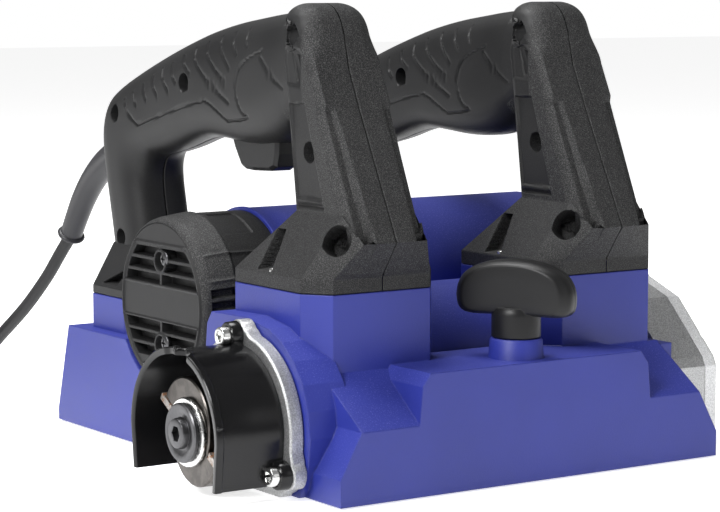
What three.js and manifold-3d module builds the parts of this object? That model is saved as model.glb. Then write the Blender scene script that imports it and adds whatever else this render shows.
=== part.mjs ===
// Two-handled portable timber planer with an outboard side cutter, a corded motor and a belt drive.
// Millimetres. X runs across the machine from the side cutter to the belt, Y from the front to the
// rear, Z up. The origin is under the middle of the machine, on the surface that it stands on.

import * as THREE from 'three';
import { ConvexGeometry } from 'three/addons/geometries/ConvexGeometry.js';
import { mergeVertices } from 'three/addons/utils/BufferGeometryUtils.js';
import Module from 'manifold-3d';

const wasm = await Module();
wasm.setup();

// ---- Driving dimensions ----

const gap = 0.3; // between two pieces that touch
const play = 0.5; // round a piece that turns or slides

// Body, measured from the left end, the front face and the ground.
const bodyWidth = 260;
const bodyLength = 320;
const skirtClearance = 1;
const skirtWall = 3.5;
const endWallTop = 15.5;
const shoulderFrontTop = 39.5;
const shoulderInset = 13.3;
const shoulderRearTop = 65;
const deckTop = 62;
const deckSlope = 15;
const wall = 4;
const noseWidth = 160;
const noseTop = 67;
const noseDepth = 60;
const archTop = 100.5;
const archCentre = [103, 60];

// Handles. Their middle planes are as far apart as the two hands.
const handleSpacing = 156;
const towerFront = 38;
const towerRear = 129;
const towerTop = 107;
const footHalf = 43;
const footRim = 8;
const shellWall = 3;
const pillarHalf = 24;
const gripHalf = 21.5;
const pillarTop = 262;
const rearFootFront = 239;
const rearFootRear = 296;
const rearTowerTop = 83;
const handleScrewHead = 4.2;
const handleScrewShank = 2;

// Soles.
const soleThickness = 6;
const soleTravel = 3;
const frontSoleRear = 53;
const rearSoleFront = 101;

// Depth knob.
const knobY = 21;
const knobTurned = -61; // degrees from lying across the machine, at rest
const knobStem = 13.75;
const knobBossTop = 78;
const knobWingLength = 70;
const knobWingThickness = 20;
const knobWingBottom = 90;
const knobWingTop = 122;
const depthScrew = 5;

// Cutter shaft.
const cutterY = 79;
const cutterZ = 34;
const cuttingRadius = 33.7;
const drumRadius = 29.5;
const chamberRadius = 37.5;
const cutterShaft = 8;
const cutterBearingRadius = 16;
const cutterBearingWidth = 9;
const chamberLeft = 14;
const chamberWall = 14;
const knifeThickness = 2.5;

// Side cutter, its flange and its guard.
const flangeRadius = 50.5;
const flangeOuterX = -13;
const flangeInnerX = -4;
const spigotRadius = 23.7;
const guardRadius = 45;
const guardWall = 2.5;
const guardRim = 1.5;
const guardEndX = -55;
const guardSkirtBottom = 9;
const guardScrewCircle = 49.5;
const guardScrewShank = 2.6;
const sideCutterLeft = -44.5;
const sideCutterRight = -19;

// Motor.
const motorY = 187;
const motorZ = 89.5;
const motorShaft = 6;
const motorBore = 45;
const motorCaseRadius = 51;
const blackBarrelEnd = 55;
const capFaceX = 1.5;
const capRimRadius = 51.5;
const capFaceRadius = 48;
const motorBearingRadius = 13;
const motorBearingWidth = 9;

// Belt drive.
const beltCaseDepth = 29;
const beltCoverDepth = 10.7;
const beltWidth = 10;
const beltThickness = 3;
const cutterPulleyRadius = 20;
const motorPulleyRadius = 17;

const middleX = bodyWidth / 2;
const handleXs = { left: middleX - handleSpacing / 2, right: middleX + handleSpacing / 2 };

// Power cord. The points of its route are in the machine's own left-front-ground frame.
const cordRadius = 4.2;
const cordX = handleXs.left; // it leaves the left handle's rear foot
const cordRoute = [
  [cordX, 402.4, 105.5], [cordX, 417.5, 92.5], [cordX, 438.7, 74], [cordX, 471.2, 50.5],
  [cordX, 511.4, 26], [cordX, 534, 11.5], [cordX, 550, 5.2], [cordX, 563, 4.3],
];
const reliefRoute = [
  [cordX, 319, 170.5, 8.2], [cordX, 334, 165.5, 8.2], [cordX, 352, 157, 8], [cordX, 368, 146, 7.6],
  [cordX, 382, 132.5, 7.2], [cordX, 393, 118.5, 6.8], [cordX, 400, 108.5, 6.6],
];
const reliefFlange = 8.6;
const coilRadius = 70; // of the outer turn's own middle line
const coilCentre = [cordX - coilRadius, 602];
const coilTurnsPerLayer = 2.625;
const coilPitch = 8.6;
const plugRadius = 12.8;
const plugLength = 36;
const pinLength = 19;

// ---- Places that follow from them ----

const chamberRight = bodyWidth - chamberWall;
const beltCaseX = bodyWidth + gap;
const beltCaseEndX = beltCaseX + beltCaseDepth;
const beltCoverX = beltCaseEndX + gap;
const beltCoverEndX = beltCoverX + beltCoverDepth;
const beltX = beltCaseX + 14;
const shaftRightX = beltX + beltWidth + 4;
const handleRearY = 328;
const knobReach = 33.867; // of its turned wing, ahead of its own axis
const boundsCentre = [(guardEndX + beltCoverEndX) / 2, (knobY - knobReach + handleRearY) / 2];

// ---- Geometry helpers ----

function solid(geometry) {
  geometry.deleteAttribute('normal');
  geometry.deleteAttribute('uv');
  const merged = mergeVertices(geometry, 1e-4);
  const triangles = [];
  for (let i = 0; i < merged.index.count; i += 3) {
    const [a, b, c] = [0, 1, 2].map((k) => merged.index.getX(i + k));
    if (a !== b && b !== c && c !== a) triangles.push(a, b, c);
  }
  return new wasm.Manifold(new wasm.Mesh({
    numProp: 3,
    vertProperties: new Float32Array(merged.attributes.position.array),
    triVerts: new Uint32Array(triangles),
  }));
}

function join(...solids) {
  return solids.reduce((whole, next) => whole.add(next));
}

function cut(whole, ...tools) {
  return tools.reduce((left, tool) => left.subtract(tool), whole);
}

// The main body of a solid, without the slivers that hulls with a shared face can leave.
function oneBody(whole) {
  return whole.decompose().reduce((most, next) => (next.volume() > most.volume() ? next : most));
}

function box(x0, x1, y0, y1, z0, z1) {
  const geometry = new THREE.BoxGeometry(x1 - x0, y1 - y0, z1 - z0);
  return solid(geometry.translate((x0 + x1) / 2, (y0 + y1) / 2, (z0 + z1) / 2));
}

function hull(points) {
  return solid(new ConvexGeometry(points.map((p) => new THREE.Vector3(...p))));
}

// A closed skin through sections of equal size: a cylinder whose rows are moved onto them.
function loft(rings) {
  const sides = rings[0].length;
  const rows = rings.length - 1;
  const geometry = new THREE.CylinderGeometry(1, 1, 1, sides, rows);
  const at = geometry.attributes.position;
  for (let i = 0; i < at.count; i += 1) {
    const ring = rings[Math.round((0.5 - at.getY(i)) * rows)];
    const turn = Math.atan2(at.getX(i), at.getZ(i)) / (2 * Math.PI);
    const onAxis = Math.hypot(at.getX(i), at.getZ(i)) < 0.5;
    const middle = [0, 1, 2].map((k) => ring.reduce((sum, point) => sum + point[k], 0) / sides);
    at.setXYZ(i, ...(onAxis ? middle : ring[(Math.round(turn * sides) + sides) % sides]));
  }
  const skin = solid(geometry);
  return skin.volume() > 0 ? skin : loft([...rings].reverse());
}

function level(outline, z) {
  return outline.map(([x, y]) => [x, y, z]);
}

function coneX(r0, r1, x0, x1, y, z, sides = 24) {
  const geometry = new THREE.CylinderGeometry(r1, r0, x1 - x0, sides);
  return solid(geometry.rotateZ(-Math.PI / 2).translate((x0 + x1) / 2, y, z));
}

function rodX(r, x0, x1, y, z, sides = 24) {
  return coneX(r, r, x0, x1, y, z, sides);
}

function rodY(r, y0, y1, x, z, sides = 12) {
  const geometry = new THREE.CylinderGeometry(r, r, y1 - y0, sides);
  return solid(geometry.translate(x, (y0 + y1) / 2, z));
}

function rodZ(r, z0, z1, x, y, sides = 16) {
  const geometry = new THREE.CylinderGeometry(r, r, z1 - z0, sides);
  return solid(geometry.rotateX(Math.PI / 2).translate(x, y, (z0 + z1) / 2));
}

// A turned piece about an axis along X, from a closed profile of [x, radius] points.
function turned(profile, y, z, sides = 24) {
  const points = profile.map(([x, r]) => new THREE.Vector2(r, x));
  const geometry = new THREE.LatheGeometry([...points, points[0].clone()], sides);
  return solid(geometry.rotateZ(-Math.PI / 2).translate(0, y, z));
}

// A side outline of [y, z] points as a slab from x0 to x1, with its edges bevelled inwards.
function slab(outline, x0, x1, bevel = 0, steps = 1, inset = 0) {
  const shape = new THREE.Shape(outline.map(([y, z]) => new THREE.Vector2(y, z)));
  const geometry = new THREE.ExtrudeGeometry(shape, {
    depth: x1 - x0 - 2 * (bevel + inset),
    bevelEnabled: bevel + inset > 0,
    bevelThickness: bevel,
    bevelSize: bevel,
    bevelOffset: -bevel - inset,
    bevelSegments: steps,
    steps: 1,
  });
  const turn = new THREE.Matrix4().set(0, 0, 1, x0 + bevel + inset, 1, 0, 0, 0, 0, 1, 0, 0, 0, 0, 0, 1);
  return solid(geometry.applyMatrix4(turn));
}

function arc(y, z, radius, from, to, steps) {
  return Array.from({ length: steps + 1 }, (_, i) => {
    const angle = THREE.MathUtils.degToRad(from + ((to - from) * i) / steps);
    return [y + radius * Math.cos(angle), z + radius * Math.sin(angle)];
  });
}

const model = new THREE.Group();
model.position.set(-boundsCentre[0], -boundsCentre[1], 0);

function piece(name, shape, [color, roughness, metalness]) {
  const mesh = shape.getMesh();
  const geometry = new THREE.BufferGeometry();
  const positions = [];
  for (let i = 0; i < mesh.vertProperties.length; i += mesh.numProp) {
    positions.push(...mesh.vertProperties.slice(i, i + 3));
  }
  geometry.setAttribute('position', new THREE.Float32BufferAttribute(positions, 3));
  geometry.setIndex(Array.from(mesh.triVerts));
  geometry.computeVertexNormals();
  const material = new THREE.MeshStandardMaterial({ color, roughness, metalness });
  const node = new THREE.Mesh(geometry, material);
  node.name = name;
  model.add(node);
}

const blueNylon = [0x2c3596, 0.5, 0];
const blackNylon = [0x2a2b2d, 0.6, 0];
const glossBlack = [0x151517, 0.35, 0];
const rubber = [0x1b1b1d, 0.75, 0];
const castAluminium = [0xc9cbcd, 0.5, 0.85];
const machinedAluminium = [0xb9bcc0, 0.35, 0.9];
const zincSteel = [0xc4c6c8, 0.3, 1];
const darkSteel = [0x4a4a4c, 0.4, 1];
const toolSteel = [0x8d7f72, 0.4, 1];
const copper = [0x9c5a34, 0.4, 0.9];

// ---- Handles: an inverted U on two feet, in two clamshell halves ----

function footPlan(xc, front, rear, chamfer, inset = 0) {
  const side = footHalf - inset;
  const y0 = front + inset;
  const y1 = rear - inset;
  const c = chamfer - inset * 0.4;
  return [
    [xc - side + c * 0.75, y0], [xc + side - c * 0.75, y0], [xc + side, y0 + c],
    [xc + side, y1 - c * 0.6], [xc + side - c * 0.6, y1], [xc - side + c * 0.6, y1],
    [xc - side, y1 - c * 0.6], [xc - side, y0 + c],
  ];
}

// Sections along the handle, each from a point on its outer side to one on its inner side, [y, z].
const bowSections = [
  [[86, 257], [88, 206]], [[104, 257], [101, 199]], [[126, 255.5], [119, 185.5]], [[146, 253], [136, 181]],
  [[170, 250], [160, 180]], [[196, 245], [184, 182]], [[216, 239.7], [202, 183]],
  [[236, 234], [220, 179.5]], [[256, 227.7], [240, 173.5]], [[280, 219.5], [258, 169.6]],
  [[306, 209.5], [268, 168]], [[321, 201], [273.5, 164]], [[handleRearY, 185], [276.5, 156]],
  [[325, 164], [276, 147]], [[319, 140], [273.5, 136]], [[313, 116], [269, 116]],
  [[310, 104], [267, 104]],
];
const pillarSections = [
  [[24, 135], [88.5, 135]], [[31.8, 150], [90.5, 150]], [[59.5, 204], [98, 204]],
  [[70, 226], [101, 226]], [[73, 238], [103, 238]],
];
const pillarChamfer = [3, 5.5]; // across, and back from the front
const pillarCap = [
  [70, 226], [72.5, 236], [75.5, 246], [79.5, 254], [85, 259.3], [92, 261.5], [99, pillarTop],
  [105, 260], [107, 254], [106, 240], [101, 226],
];
const footSectionZ = 149;
const rearSectionZ = 112;

function handleBody(xc, inset) {
  const floor = inset > 0 ? towerTop - 2 : towerTop + gap;
  const rearFloor = inset > 0 ? rearTowerTop - 2 : rearTowerTop + gap;
  const frontPlan = footPlan(xc, towerFront, towerRear, 15, inset);
  const rearPlan = footPlan(xc, rearFootFront, rearFootRear, 11, inset);
  const waist = pillarHalf - 1 - inset;
  const frontWaist = [
    [xc - 12, 34 + inset], [xc + 12, 34 + inset], [xc + waist, 44], [xc + waist, 86],
    [xc + 14, 93 - inset], [xc - 14, 93 - inset], [xc - waist, 86], [xc - waist, 44],
  ];
  const rearWaist = [
    [xc - 12, 268 + inset], [xc + 12, 268 + inset], [xc + waist, 276], [xc + waist, 303],
    [xc + 12, 311 - inset], [xc - 12, 311 - inset], [xc - waist, 303], [xc - waist, 276],
  ];
  const rimTop = towerTop + footRim - inset;
  const rearRimTop = rearTowerTop + 5 - inset;
  return join(
    along(pillarSections, xc, pillarHalf, pillarChamfer, 1, inset),
    capHull(xc, inset),
    along(bowSections, xc, gripHalf, [9, 10], 1, inset),
    hull([...level(frontPlan, floor), ...level(frontPlan, rimTop)]),
    hull([...level(frontPlan, rimTop), ...level(frontWaist, footSectionZ - inset)]),
    hull([
      ...level(frontPlan, rimTop),
      ...section(pillarSections[0], xc, pillarHalf, pillarChamfer, 1, inset),
    ]),
    hull([...level(rearPlan, rearFloor), ...level(rearPlan, rearRimTop)]),
    hull([...level(rearPlan, rearRimTop), ...level(rearWaist, rearSectionZ)]),
  );
}

// A closed section between two points, with its four corners cut back by [across, along].
function section([outer, inner], xc, halfWidth, corner, steps, inset) {
  const along = new THREE.Vector2(outer[0] - inner[0], outer[1] - inner[1]);
  const halfHeight = along.length() / 2 - inset;
  const width = halfWidth - inset;
  along.normalize();
  const centre = [(outer[0] + inner[0]) / 2, (outer[1] + inner[1]) / 2];
  const [across, down] = [Math.min(corner[0], width), Math.min(corner[1], halfHeight)];
  const points = [];
  for (const [sx, sz] of [[1, 1], [1, -1], [-1, -1], [-1, 1]]) {
    for (let i = 0; i <= steps; i += 1) {
      const turn = (Math.PI / 2) * (sx * sz > 0 ? 1 - i / steps : i / steps);
      const x = sx * (width - across * (1 - Math.cos(turn)));
      const h = sz * (halfHeight - down * (1 - Math.sin(turn)));
      points.push([xc + x, centre[0] + along.x * h, centre[1] + along.y * h]);
    }
  }
  return points;
}

function along(sections, xc, halfWidth, corner, steps, inset) {
  return loft(sections.map((ends) => section(ends, xc, halfWidth, corner, steps, inset)));
}

// The pillar's top, with its faces chamfered towards both sides.
function capHull(xc, inset) {
  const middle = [91, 240];
  const inwards = ([y, z], by) => {
    const reach = Math.hypot(y - middle[0], z - middle[1]);
    return [y - ((y - middle[0]) / reach) * by, z - ((z - middle[1]) / reach) * by];
  };
  const corners = [[pillarChamfer[0], 0], [0, pillarChamfer[1]]];
  return hull(pillarCap.flatMap((point) => corners.flatMap(([back, down]) => {
    const [y, z] = inwards(point, down + inset);
    const half = pillarHalf - back - inset;
    return [[xc - half, y, z], [xc + half, y, z]];
  })));
}

const handleScrews = {
  front_top: [92.4, 243.7],
  front_pillar: [75.8, 180.9],
  grip: [213.8, 214.2],
  rear_top: [300, 192.3],
  rear_pillar: [292.7, 115.7],
};
const recessRadius = 6.2;
const recessFloor = -10; // from the handle's middle plane

function screwBosses(xc) {
  return Object.values(handleScrews).map(([y, z]) => rodX(8.4, xc - 26, xc + 26, y, z, 10));
}

function screwHoles(xc) {
  return Object.values(handleScrews).flatMap(([y, z]) => [
    rodX(recessRadius, xc - 60, xc + recessFloor, y, z, 14),
    rodX(handleScrewShank + play, xc - 30, xc + 13, y, z, 8),
  ]);
}

// The foot's own fixings: a deep bolt by its front corner and a pan screw in a slot in its side.
const baseBolt = { dx: -23.5, y: 53, radius: 6.5, seat: 122, shank: 2.5 };
const slotScrew = { dx: -38, y: 84.9, halfWidth: 5, seat: towerTop + 7, shank: 2 };

function handleHalves(side) {
  const xc = handleXs[side];
  const outer = handleBody(xc, 0);
  const inner = handleBody(xc, shellWall);
  const boltX = xc + baseBolt.dx;
  const slotX = xc + slotScrew.dx;
  const posts = join(
    ...screwBosses(xc),
    rodZ(baseBolt.radius + 2.5, towerTop + gap, 160, boltX, baseBolt.y, 12),
    box(xc - footHalf, slotX + 9, slotScrew.y - 8, slotScrew.y + 8, towerTop + gap, 150),
  ).intersect(outer);
  let whole = cut(
    outer.subtract(inner).add(posts),
    ...screwHoles(xc),
    rodZ(baseBolt.radius, baseBolt.seat, 170, boltX, baseBolt.y, 16),
    rodZ(baseBolt.shank + play, 80, 170, boltX, baseBolt.y, 10),
    box(xc - footHalf - 2, slotX + 5.5, slotScrew.y - slotScrew.halfWidth,
      slotScrew.y + slotScrew.halfWidth, slotScrew.seat, 160),
    rodZ(slotScrew.shank + play, 80, 170, slotX, slotScrew.y, 10),
  );
  if (side === 'left') whole = cut(whole, ...triggerOpening(xc), reliefHole(xc));
  const half = gap / 2;
  const leftSide = box(xc - 60, xc - half, 0, 400, 50, 300);
  const rightSide = box(xc + half, xc + 60, 0, 400, 50, 300);
  piece(`${side}_handle_left_shell`, oneBody(whole.intersect(leftSide)), blackNylon);
  piece(`${side}_handle_right_shell`, oneBody(whole.intersect(rightSide)), blackNylon);
  for (const [place, [y, z]] of Object.entries(handleScrews)) {
    const seat = xc + recessFloor - gap;
    const screw = join(
      rodX(handleScrewHead, seat - 3, seat, y, z, 12),
      rodX(handleScrewShank, seat - 0.5, xc + 12.5, y, z, 6),
    );
    piece(`${side}_handle_screw_${place}`, screw, zincSteel);
  }
  piece(`${side}_handle_base_bolt`, join(
    rodZ(5.2, baseBolt.seat + gap, baseBolt.seat + 5, boltX, baseBolt.y, 16),
    rodZ(baseBolt.shank, towerTop - 20, baseBolt.seat + 1, boltX, baseBolt.y, 8),
  ), zincSteel);
  piece(`${side}_handle_base_screw`, join(
    rodZ(4, slotScrew.seat + gap, slotScrew.seat + 3, slotX, slotScrew.y, 16),
    rodZ(slotScrew.shank, towerTop - 14, slotScrew.seat + 1, slotX, slotScrew.y, 8),
  ), zincSteel);
}

// ---- Trigger, which tilts about a pin at its rear top, and the switch above it ----

const triggerHalf = 8;
const triggerPivot = [181, 191];
const triggerOutline = [
  [132, 184], [132.5, 176], [134.5, 168.5], [140, 166], [159, 165.2], [168, 165.6], [172, 167],
  [179, 177], [183, 185], [186, 190], [184, 195], [178, 195.5], [160, 193], [136, 191],
];

function triggerOpening(xc) {
  const half = triggerHalf + play;
  return [box(xc - half, xc + half, 130.5, 187.5, 160, 192)];
}

function reliefHole(xc) {
  const [, y0, z0, r0] = reliefRoute[0];
  const [, y1, z1] = reliefRoute[1];
  const back = [xc, y0 - (y1 - y0), z0 - (z1 - z0)];
  const ahead = [xc, y1, z1];
  return taper(back, ahead, r0 + gap, r0 + gap);
}

function trigger() {
  const xc = handleXs.left;
  piece('trigger', slab(triggerOutline, xc - triggerHalf, xc + triggerHalf, 2, 1), glossBlack);
  piece('switch_block', join(
    box(xc - 10, xc + 10, 128, 172, 202, 226),
    rodZ(2.5, 198.5, 203, xc, 140, 10),
  ), glossBlack);
}

// ---- Main housing ----

function frontBlock() {
  const left = shoulderInset;
  const right = bodyWidth - shoulderInset;
  const depth = towerFront + 8;
  const foot = [[0, 0], [bodyWidth, 0], [bodyWidth, depth], [0, depth]];
  const shoulder = [[left, 0], [right, 0], [right, depth], [left, depth]];
  return hull([
    ...level(foot, skirtClearance), ...level(foot, endWallTop), ...level(shoulder, shoulderFrontTop),
  ]);
}

function shoulder(x0, x1) {
  const y1 = towerFront + 4;
  const low = shoulderFrontTop - 2;
  return hull([
    [x0, 0, shoulderFrontTop], [x1, 0, shoulderFrontTop], [x0, 0, low], [x1, 0, low],
    [x0, towerFront, shoulderRearTop], [x1, towerFront, shoulderRearTop],
    [x0, y1, shoulderRearTop], [x1, y1, shoulderRearTop], [x0, y1, low], [x1, y1, low],
  ]);
}

function nose() {
  const half = noseWidth / 2;
  const depth = noseDepth;
  const section = [
    [-half, shoulderFrontTop - 2], [half, shoulderFrontTop - 2], [half - 2.2, noseTop - 7],
    [half - 7.5, noseTop], [-half + 7.5, noseTop], [-half + 2.2, noseTop - 7],
  ];
  return hull(section.flatMap(([x, z]) => [[middleX + x, 0, z], [middleX + x, depth, z]]));
}

function deck() {
  const y0 = towerFront + 2;
  const rearTop = bodyLength - deckSlope;
  const foot = [[0, y0], [bodyWidth, y0], [bodyWidth, bodyLength], [0, bodyLength]];
  const top = [[0, y0], [bodyWidth, y0], [bodyWidth, rearTop], [0, rearTop]];
  return hull([...level(foot, skirtClearance), ...level(foot, 8), ...level(top, deckTop)]);
}

function tower(xc, front, rear, chamfer, z0, z1, inset = 0) {
  const plan = footPlan(xc, front, rear, chamfer, inset);
  return hull([...level(plan, z0), ...level(plan, z1)]);
}

// The rounded cover over the cutter drum, between the two front towers and out to the flange.
function drumArch() {
  const [y, z] = archCentre;
  const middle = slab([
    [y - 42, 30], ...arc(y, z, archTop - z, 180, 60, 9), [motorY - 10, archTop - 6], [motorY - 10, 30],
  ], handleXs.left + 20, handleXs.right - 20);
  const end = hull([
    ...arc(cutterY, cutterZ, flangeRadius + 5.5, 0, 330, 22),
    [archCentre[0] + 21, 91], [cutterY + 8, 92], [archCentre[0] + 26, 84], [archCentre[0] + 26, 50],
  ].flatMap(([py, pz]) => [[flangeInnerX, py, pz], [22, py, pz]]));
  return middle.add(end);
}

function mainHousing() {
  const xs = Object.values(handleXs);
  const shoulderLeft = [shoulderInset, handleXs.left + 10];
  const shoulderRight = [handleXs.right - 10, bodyWidth - shoulderInset];
  const nearBottom = skirtClearance;
  let body = join(
    frontBlock(),
    shoulder(...shoulderLeft),
    shoulder(...shoulderRight),
    nose(),
    deck(),
    ...xs.map((xc) => tower(xc, towerFront, towerRear, 15, deckTop - 6, towerTop)),
    ...xs.map((xc) => tower(xc, rearFootFront, rearFootRear, 11, deckTop - 6, rearTowerTop)),
    rodX(motorCaseRadius, blackBarrelEnd, bodyWidth, motorY, motorZ, 32),
    drumArch(),
    coneZ(15.5, 14, noseTop - 1, knobBossTop, middleX, knobY, 16),
  );
  body = body.intersect(box(-60, bodyWidth + 60, -20, bodyLength + 20, nearBottom, 300));
  const pocketLeft = skirtWall;
  const pocketRight = bodyWidth - skirtWall;
  const frontPocketTop = soleThickness + soleTravel + play;
  const cavityLeft = skirtWall + 2.5;
  const cavityRight = bodyWidth - skirtWall - 2.5;
  const columnHalf = 18;
  const noseCavityRear = cutterY - chamberRadius - wall;
  const frontCavity = (x0, x1) => hull([
    ...level([[x0, 5], [x1, 5], [x1, noseCavityRear], [x0, noseCavityRear]], frontPocketTop - 1),
    ...level([[x0, 5], [x1, 5], [x1, noseCavityRear], [x0, noseCavityRear]], endWallTop - 1),
    ...level([[x0 + 10, 5], [x1 - 10, 5], [x1 - 10, noseCavityRear], [x0 + 10, noseCavityRear]], 33),
  ]);
  return cut(
    body,
    box(pocketLeft, pocketRight, skirtWall, frontSoleRear + 1, -5, frontPocketTop),
    box(pocketLeft, pocketRight, rearSoleFront - 1, bodyLength - skirtWall, -5, soleThickness + gap),
    box(cavityLeft, cavityRight, cutterY + chamberRadius + wall, bodyLength - 12, 5, 40),
    box(cavityLeft, cavityRight, motorY + capRimRadius + 6, bodyLength - 24, 39, deckTop - wall),
    box(middleX - 74, middleX - columnHalf, 5, noseCavityRear, 30, noseTop - wall - 2),
    box(middleX + columnHalf, middleX + 74, 5, noseCavityRear, 30, noseTop - wall - 2),
    frontCavity(cavityLeft, middleX - columnHalf),
    frontCavity(middleX + columnHalf, cavityRight),
    rodX(chamberRadius, chamberLeft, chamberRight, cutterY, cutterZ, 32),
    rodX(spigotRadius + gap, flangeInnerX - 5, chamberLeft + 1, cutterY, cutterZ),
    rodX(cutterBearingRadius + gap, chamberRight - 1, chamberRight + cutterBearingWidth + gap,
      cutterY, cutterZ),
    rodX(cutterShaft + 2, chamberRight - 1, bodyWidth + 5, cutterY, cutterZ, 24),
    rodX(motorBore, blackBarrelEnd - 5, bodyWidth - 14, motorY, motorZ, 32),
    rodX(motorBearingRadius + gap, bodyWidth - 15, bodyWidth - 4, motorY, motorZ, 24),
    rodX(motorShaft + 2, bodyWidth - 15, bodyWidth + 5, motorY, motorZ, 24),
    rodX(capRimRadius + 1, -20, blackBarrelEnd, motorY, motorZ, 32),
    rodZ(9 + play, -5, 35, middleX, knobY, 16),
    rodZ(depthScrew + play, 30, knobBossTop + 5, middleX, knobY, 16),
    ...xs.flatMap((xc) => towerHollow(xc)),
    ...xs.map((xc) => tower(xc, rearFootFront, rearFootRear, 11, deckTop - 12, rearTowerTop + 5, wall)),
  );
}

// The room inside a front tower, less the posts that the handle's bolt and screw go into.
function towerHollow(xc) {
  const boltX = xc + baseBolt.dx;
  const slotX = xc + slotScrew.dx;
  const room = tower(xc, towerFront, towerRear, 15, cutterZ + chamberRadius + wall, towerTop + 5, wall);
  const posts = join(
    rodZ(6.5, 60, 120, boltX, baseBolt.y, 16),
    rodZ(6.5, 60, 120, slotX, slotScrew.y, 16),
  );
  return [
    room.subtract(posts),
    rodZ(baseBolt.shank + gap, towerTop - 22, towerTop + 1, boltX, baseBolt.y, 10),
    rodZ(slotScrew.shank + gap, towerTop - 16, towerTop + 1, slotX, slotScrew.y, 10),
  ];
}

function coneZ(r0, r1, z0, z1, x, y, sides) {
  const geometry = new THREE.CylinderGeometry(r1, r0, z1 - z0, sides);
  return solid(geometry.rotateX(Math.PI / 2).translate(x, y, (z0 + z1) / 2));
}

// ---- Soles and depth knob ----

function soles() {
  const x0 = skirtWall + play;
  const x1 = bodyWidth - skirtWall - play;
  const screwHoleBottom = 8;
  const frontSole = cut(
    join(
      hull([
        ...level([[x0, 4], [x1, 4], [x1, frontSoleRear], [x0, frontSoleRear]], 0),
        ...level([[x0, 4], [x1, 4], [x1, frontSoleRear - 3], [x0, frontSoleRear - 3]], soleThickness),
      ]),
      rodZ(9, 1, 30, middleX, knobY, 16),
    ),
    rodZ(depthScrew + gap, screwHoleBottom, 35, middleX, knobY, 16),
  );
  piece('front_sole', frontSole, machinedAluminium);
  const rear = bodyLength - skirtWall - play;
  const rearSole = hull([
    ...level([[x0, rearSoleFront], [x1, rearSoleFront], [x1, rear], [x0, rear]], 0),
    ...level([[x0, rearSoleFront + 2], [x1, rearSoleFront + 2], [x1, rear], [x0, rear]], soleThickness),
  ]);
  piece('rear_sole', rearSole, machinedAluminium);
  piece('depth_screw', rodZ(depthScrew, screwHoleBottom + soleTravel + 1.5, knobBossTop + 16,
    middleX, knobY, 16), zincSteel);
  const stem = rodZ(knobStem, knobBossTop + gap, knobWingBottom + 4, middleX, knobY, 16);
  const half = knobWingLength / 2;
  const rise = knobWingTop - knobWingBottom;
  const wing = [
    [-half + 4, 0], [half - 4, 0], [half, rise * 0.22], [half, rise * 0.58], [half - 4, rise * 0.78],
    [half - 14, rise * 0.95], [0, rise], [-half + 14, rise * 0.95], [-half + 4, rise * 0.78],
    [-half, rise * 0.58], [-half, rise * 0.22],
  ];
  const grip = slab(wing, -knobWingThickness / 2, knobWingThickness / 2, 4, 2)
    .rotate([0, 0, 90 + knobTurned])
    .translate([middleX, knobY, knobWingBottom]);
  const bore = rodZ(depthScrew + gap, knobBossTop - 2, knobBossTop + 16 + gap, middleX, knobY, 16);
  piece('depth_knob', join(stem, grip).subtract(bore), glossBlack);
}

// ---- Cutter shaft and what turns with it ----

function cutterShaftPieces() {
  const drumX0 = chamberLeft + 4;
  const drumX1 = chamberRight - 4;
  const shaftLeft = sideCutterLeft + 0.5;
  const knifeSlotDepth = 13;
  const knifeInner = drumRadius - knifeSlotDepth + gap;
  const slotHalf = knifeThickness / 2 + gap;
  const drum = cut(
    turned([
      [shaftLeft, 0], [shaftLeft, cutterShaft], [drumX0, cutterShaft], [drumX0, drumRadius],
      [drumX1, drumRadius], [drumX1, cutterShaft], [shaftRightX, cutterShaft], [shaftRightX, 0],
    ], cutterY, cutterZ),
    ...[1, -1].map((way) => box(drumX0 - 1, drumX1 + 1, cutterY - slotHalf, cutterY + slotHalf,
      Math.min(cutterZ + way * (drumRadius - knifeSlotDepth), cutterZ + way * 40),
      Math.max(cutterZ + way * (drumRadius - knifeSlotDepth), cutterZ + way * 40))),
    rodX(boltShank + gap, shaftLeft - 1, shaftLeft + 22, cutterY, cutterZ, 16),
  );
  piece('cutter_drum', drum, darkSteel);
  for (const [name, way] of [['upper', 1], ['lower', -1]]) {
    const z0 = cutterZ + way * knifeInner;
    const z1 = cutterZ + way * cuttingRadius;
    piece(`drum_knife_${name}`, box(drumX0, drumX1, cutterY - knifeThickness / 2,
      cutterY + knifeThickness / 2, Math.min(z0, z1), Math.max(z0, z1)), toolSteel);
  }
  const bearing = (name, x0) => piece(name, turned([
    [x0, cutterShaft + gap], [x0, cutterBearingRadius], [x0 + cutterBearingWidth, cutterBearingRadius],
    [x0 + cutterBearingWidth, cutterShaft + gap],
  ], cutterY, cutterZ, 18), zincSteel);
  bearing('cutter_bearing_left', flangeInnerX + 2);
  bearing('cutter_bearing_right', chamberRight + gap / 2);
}

const boltShank = 4;

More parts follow.
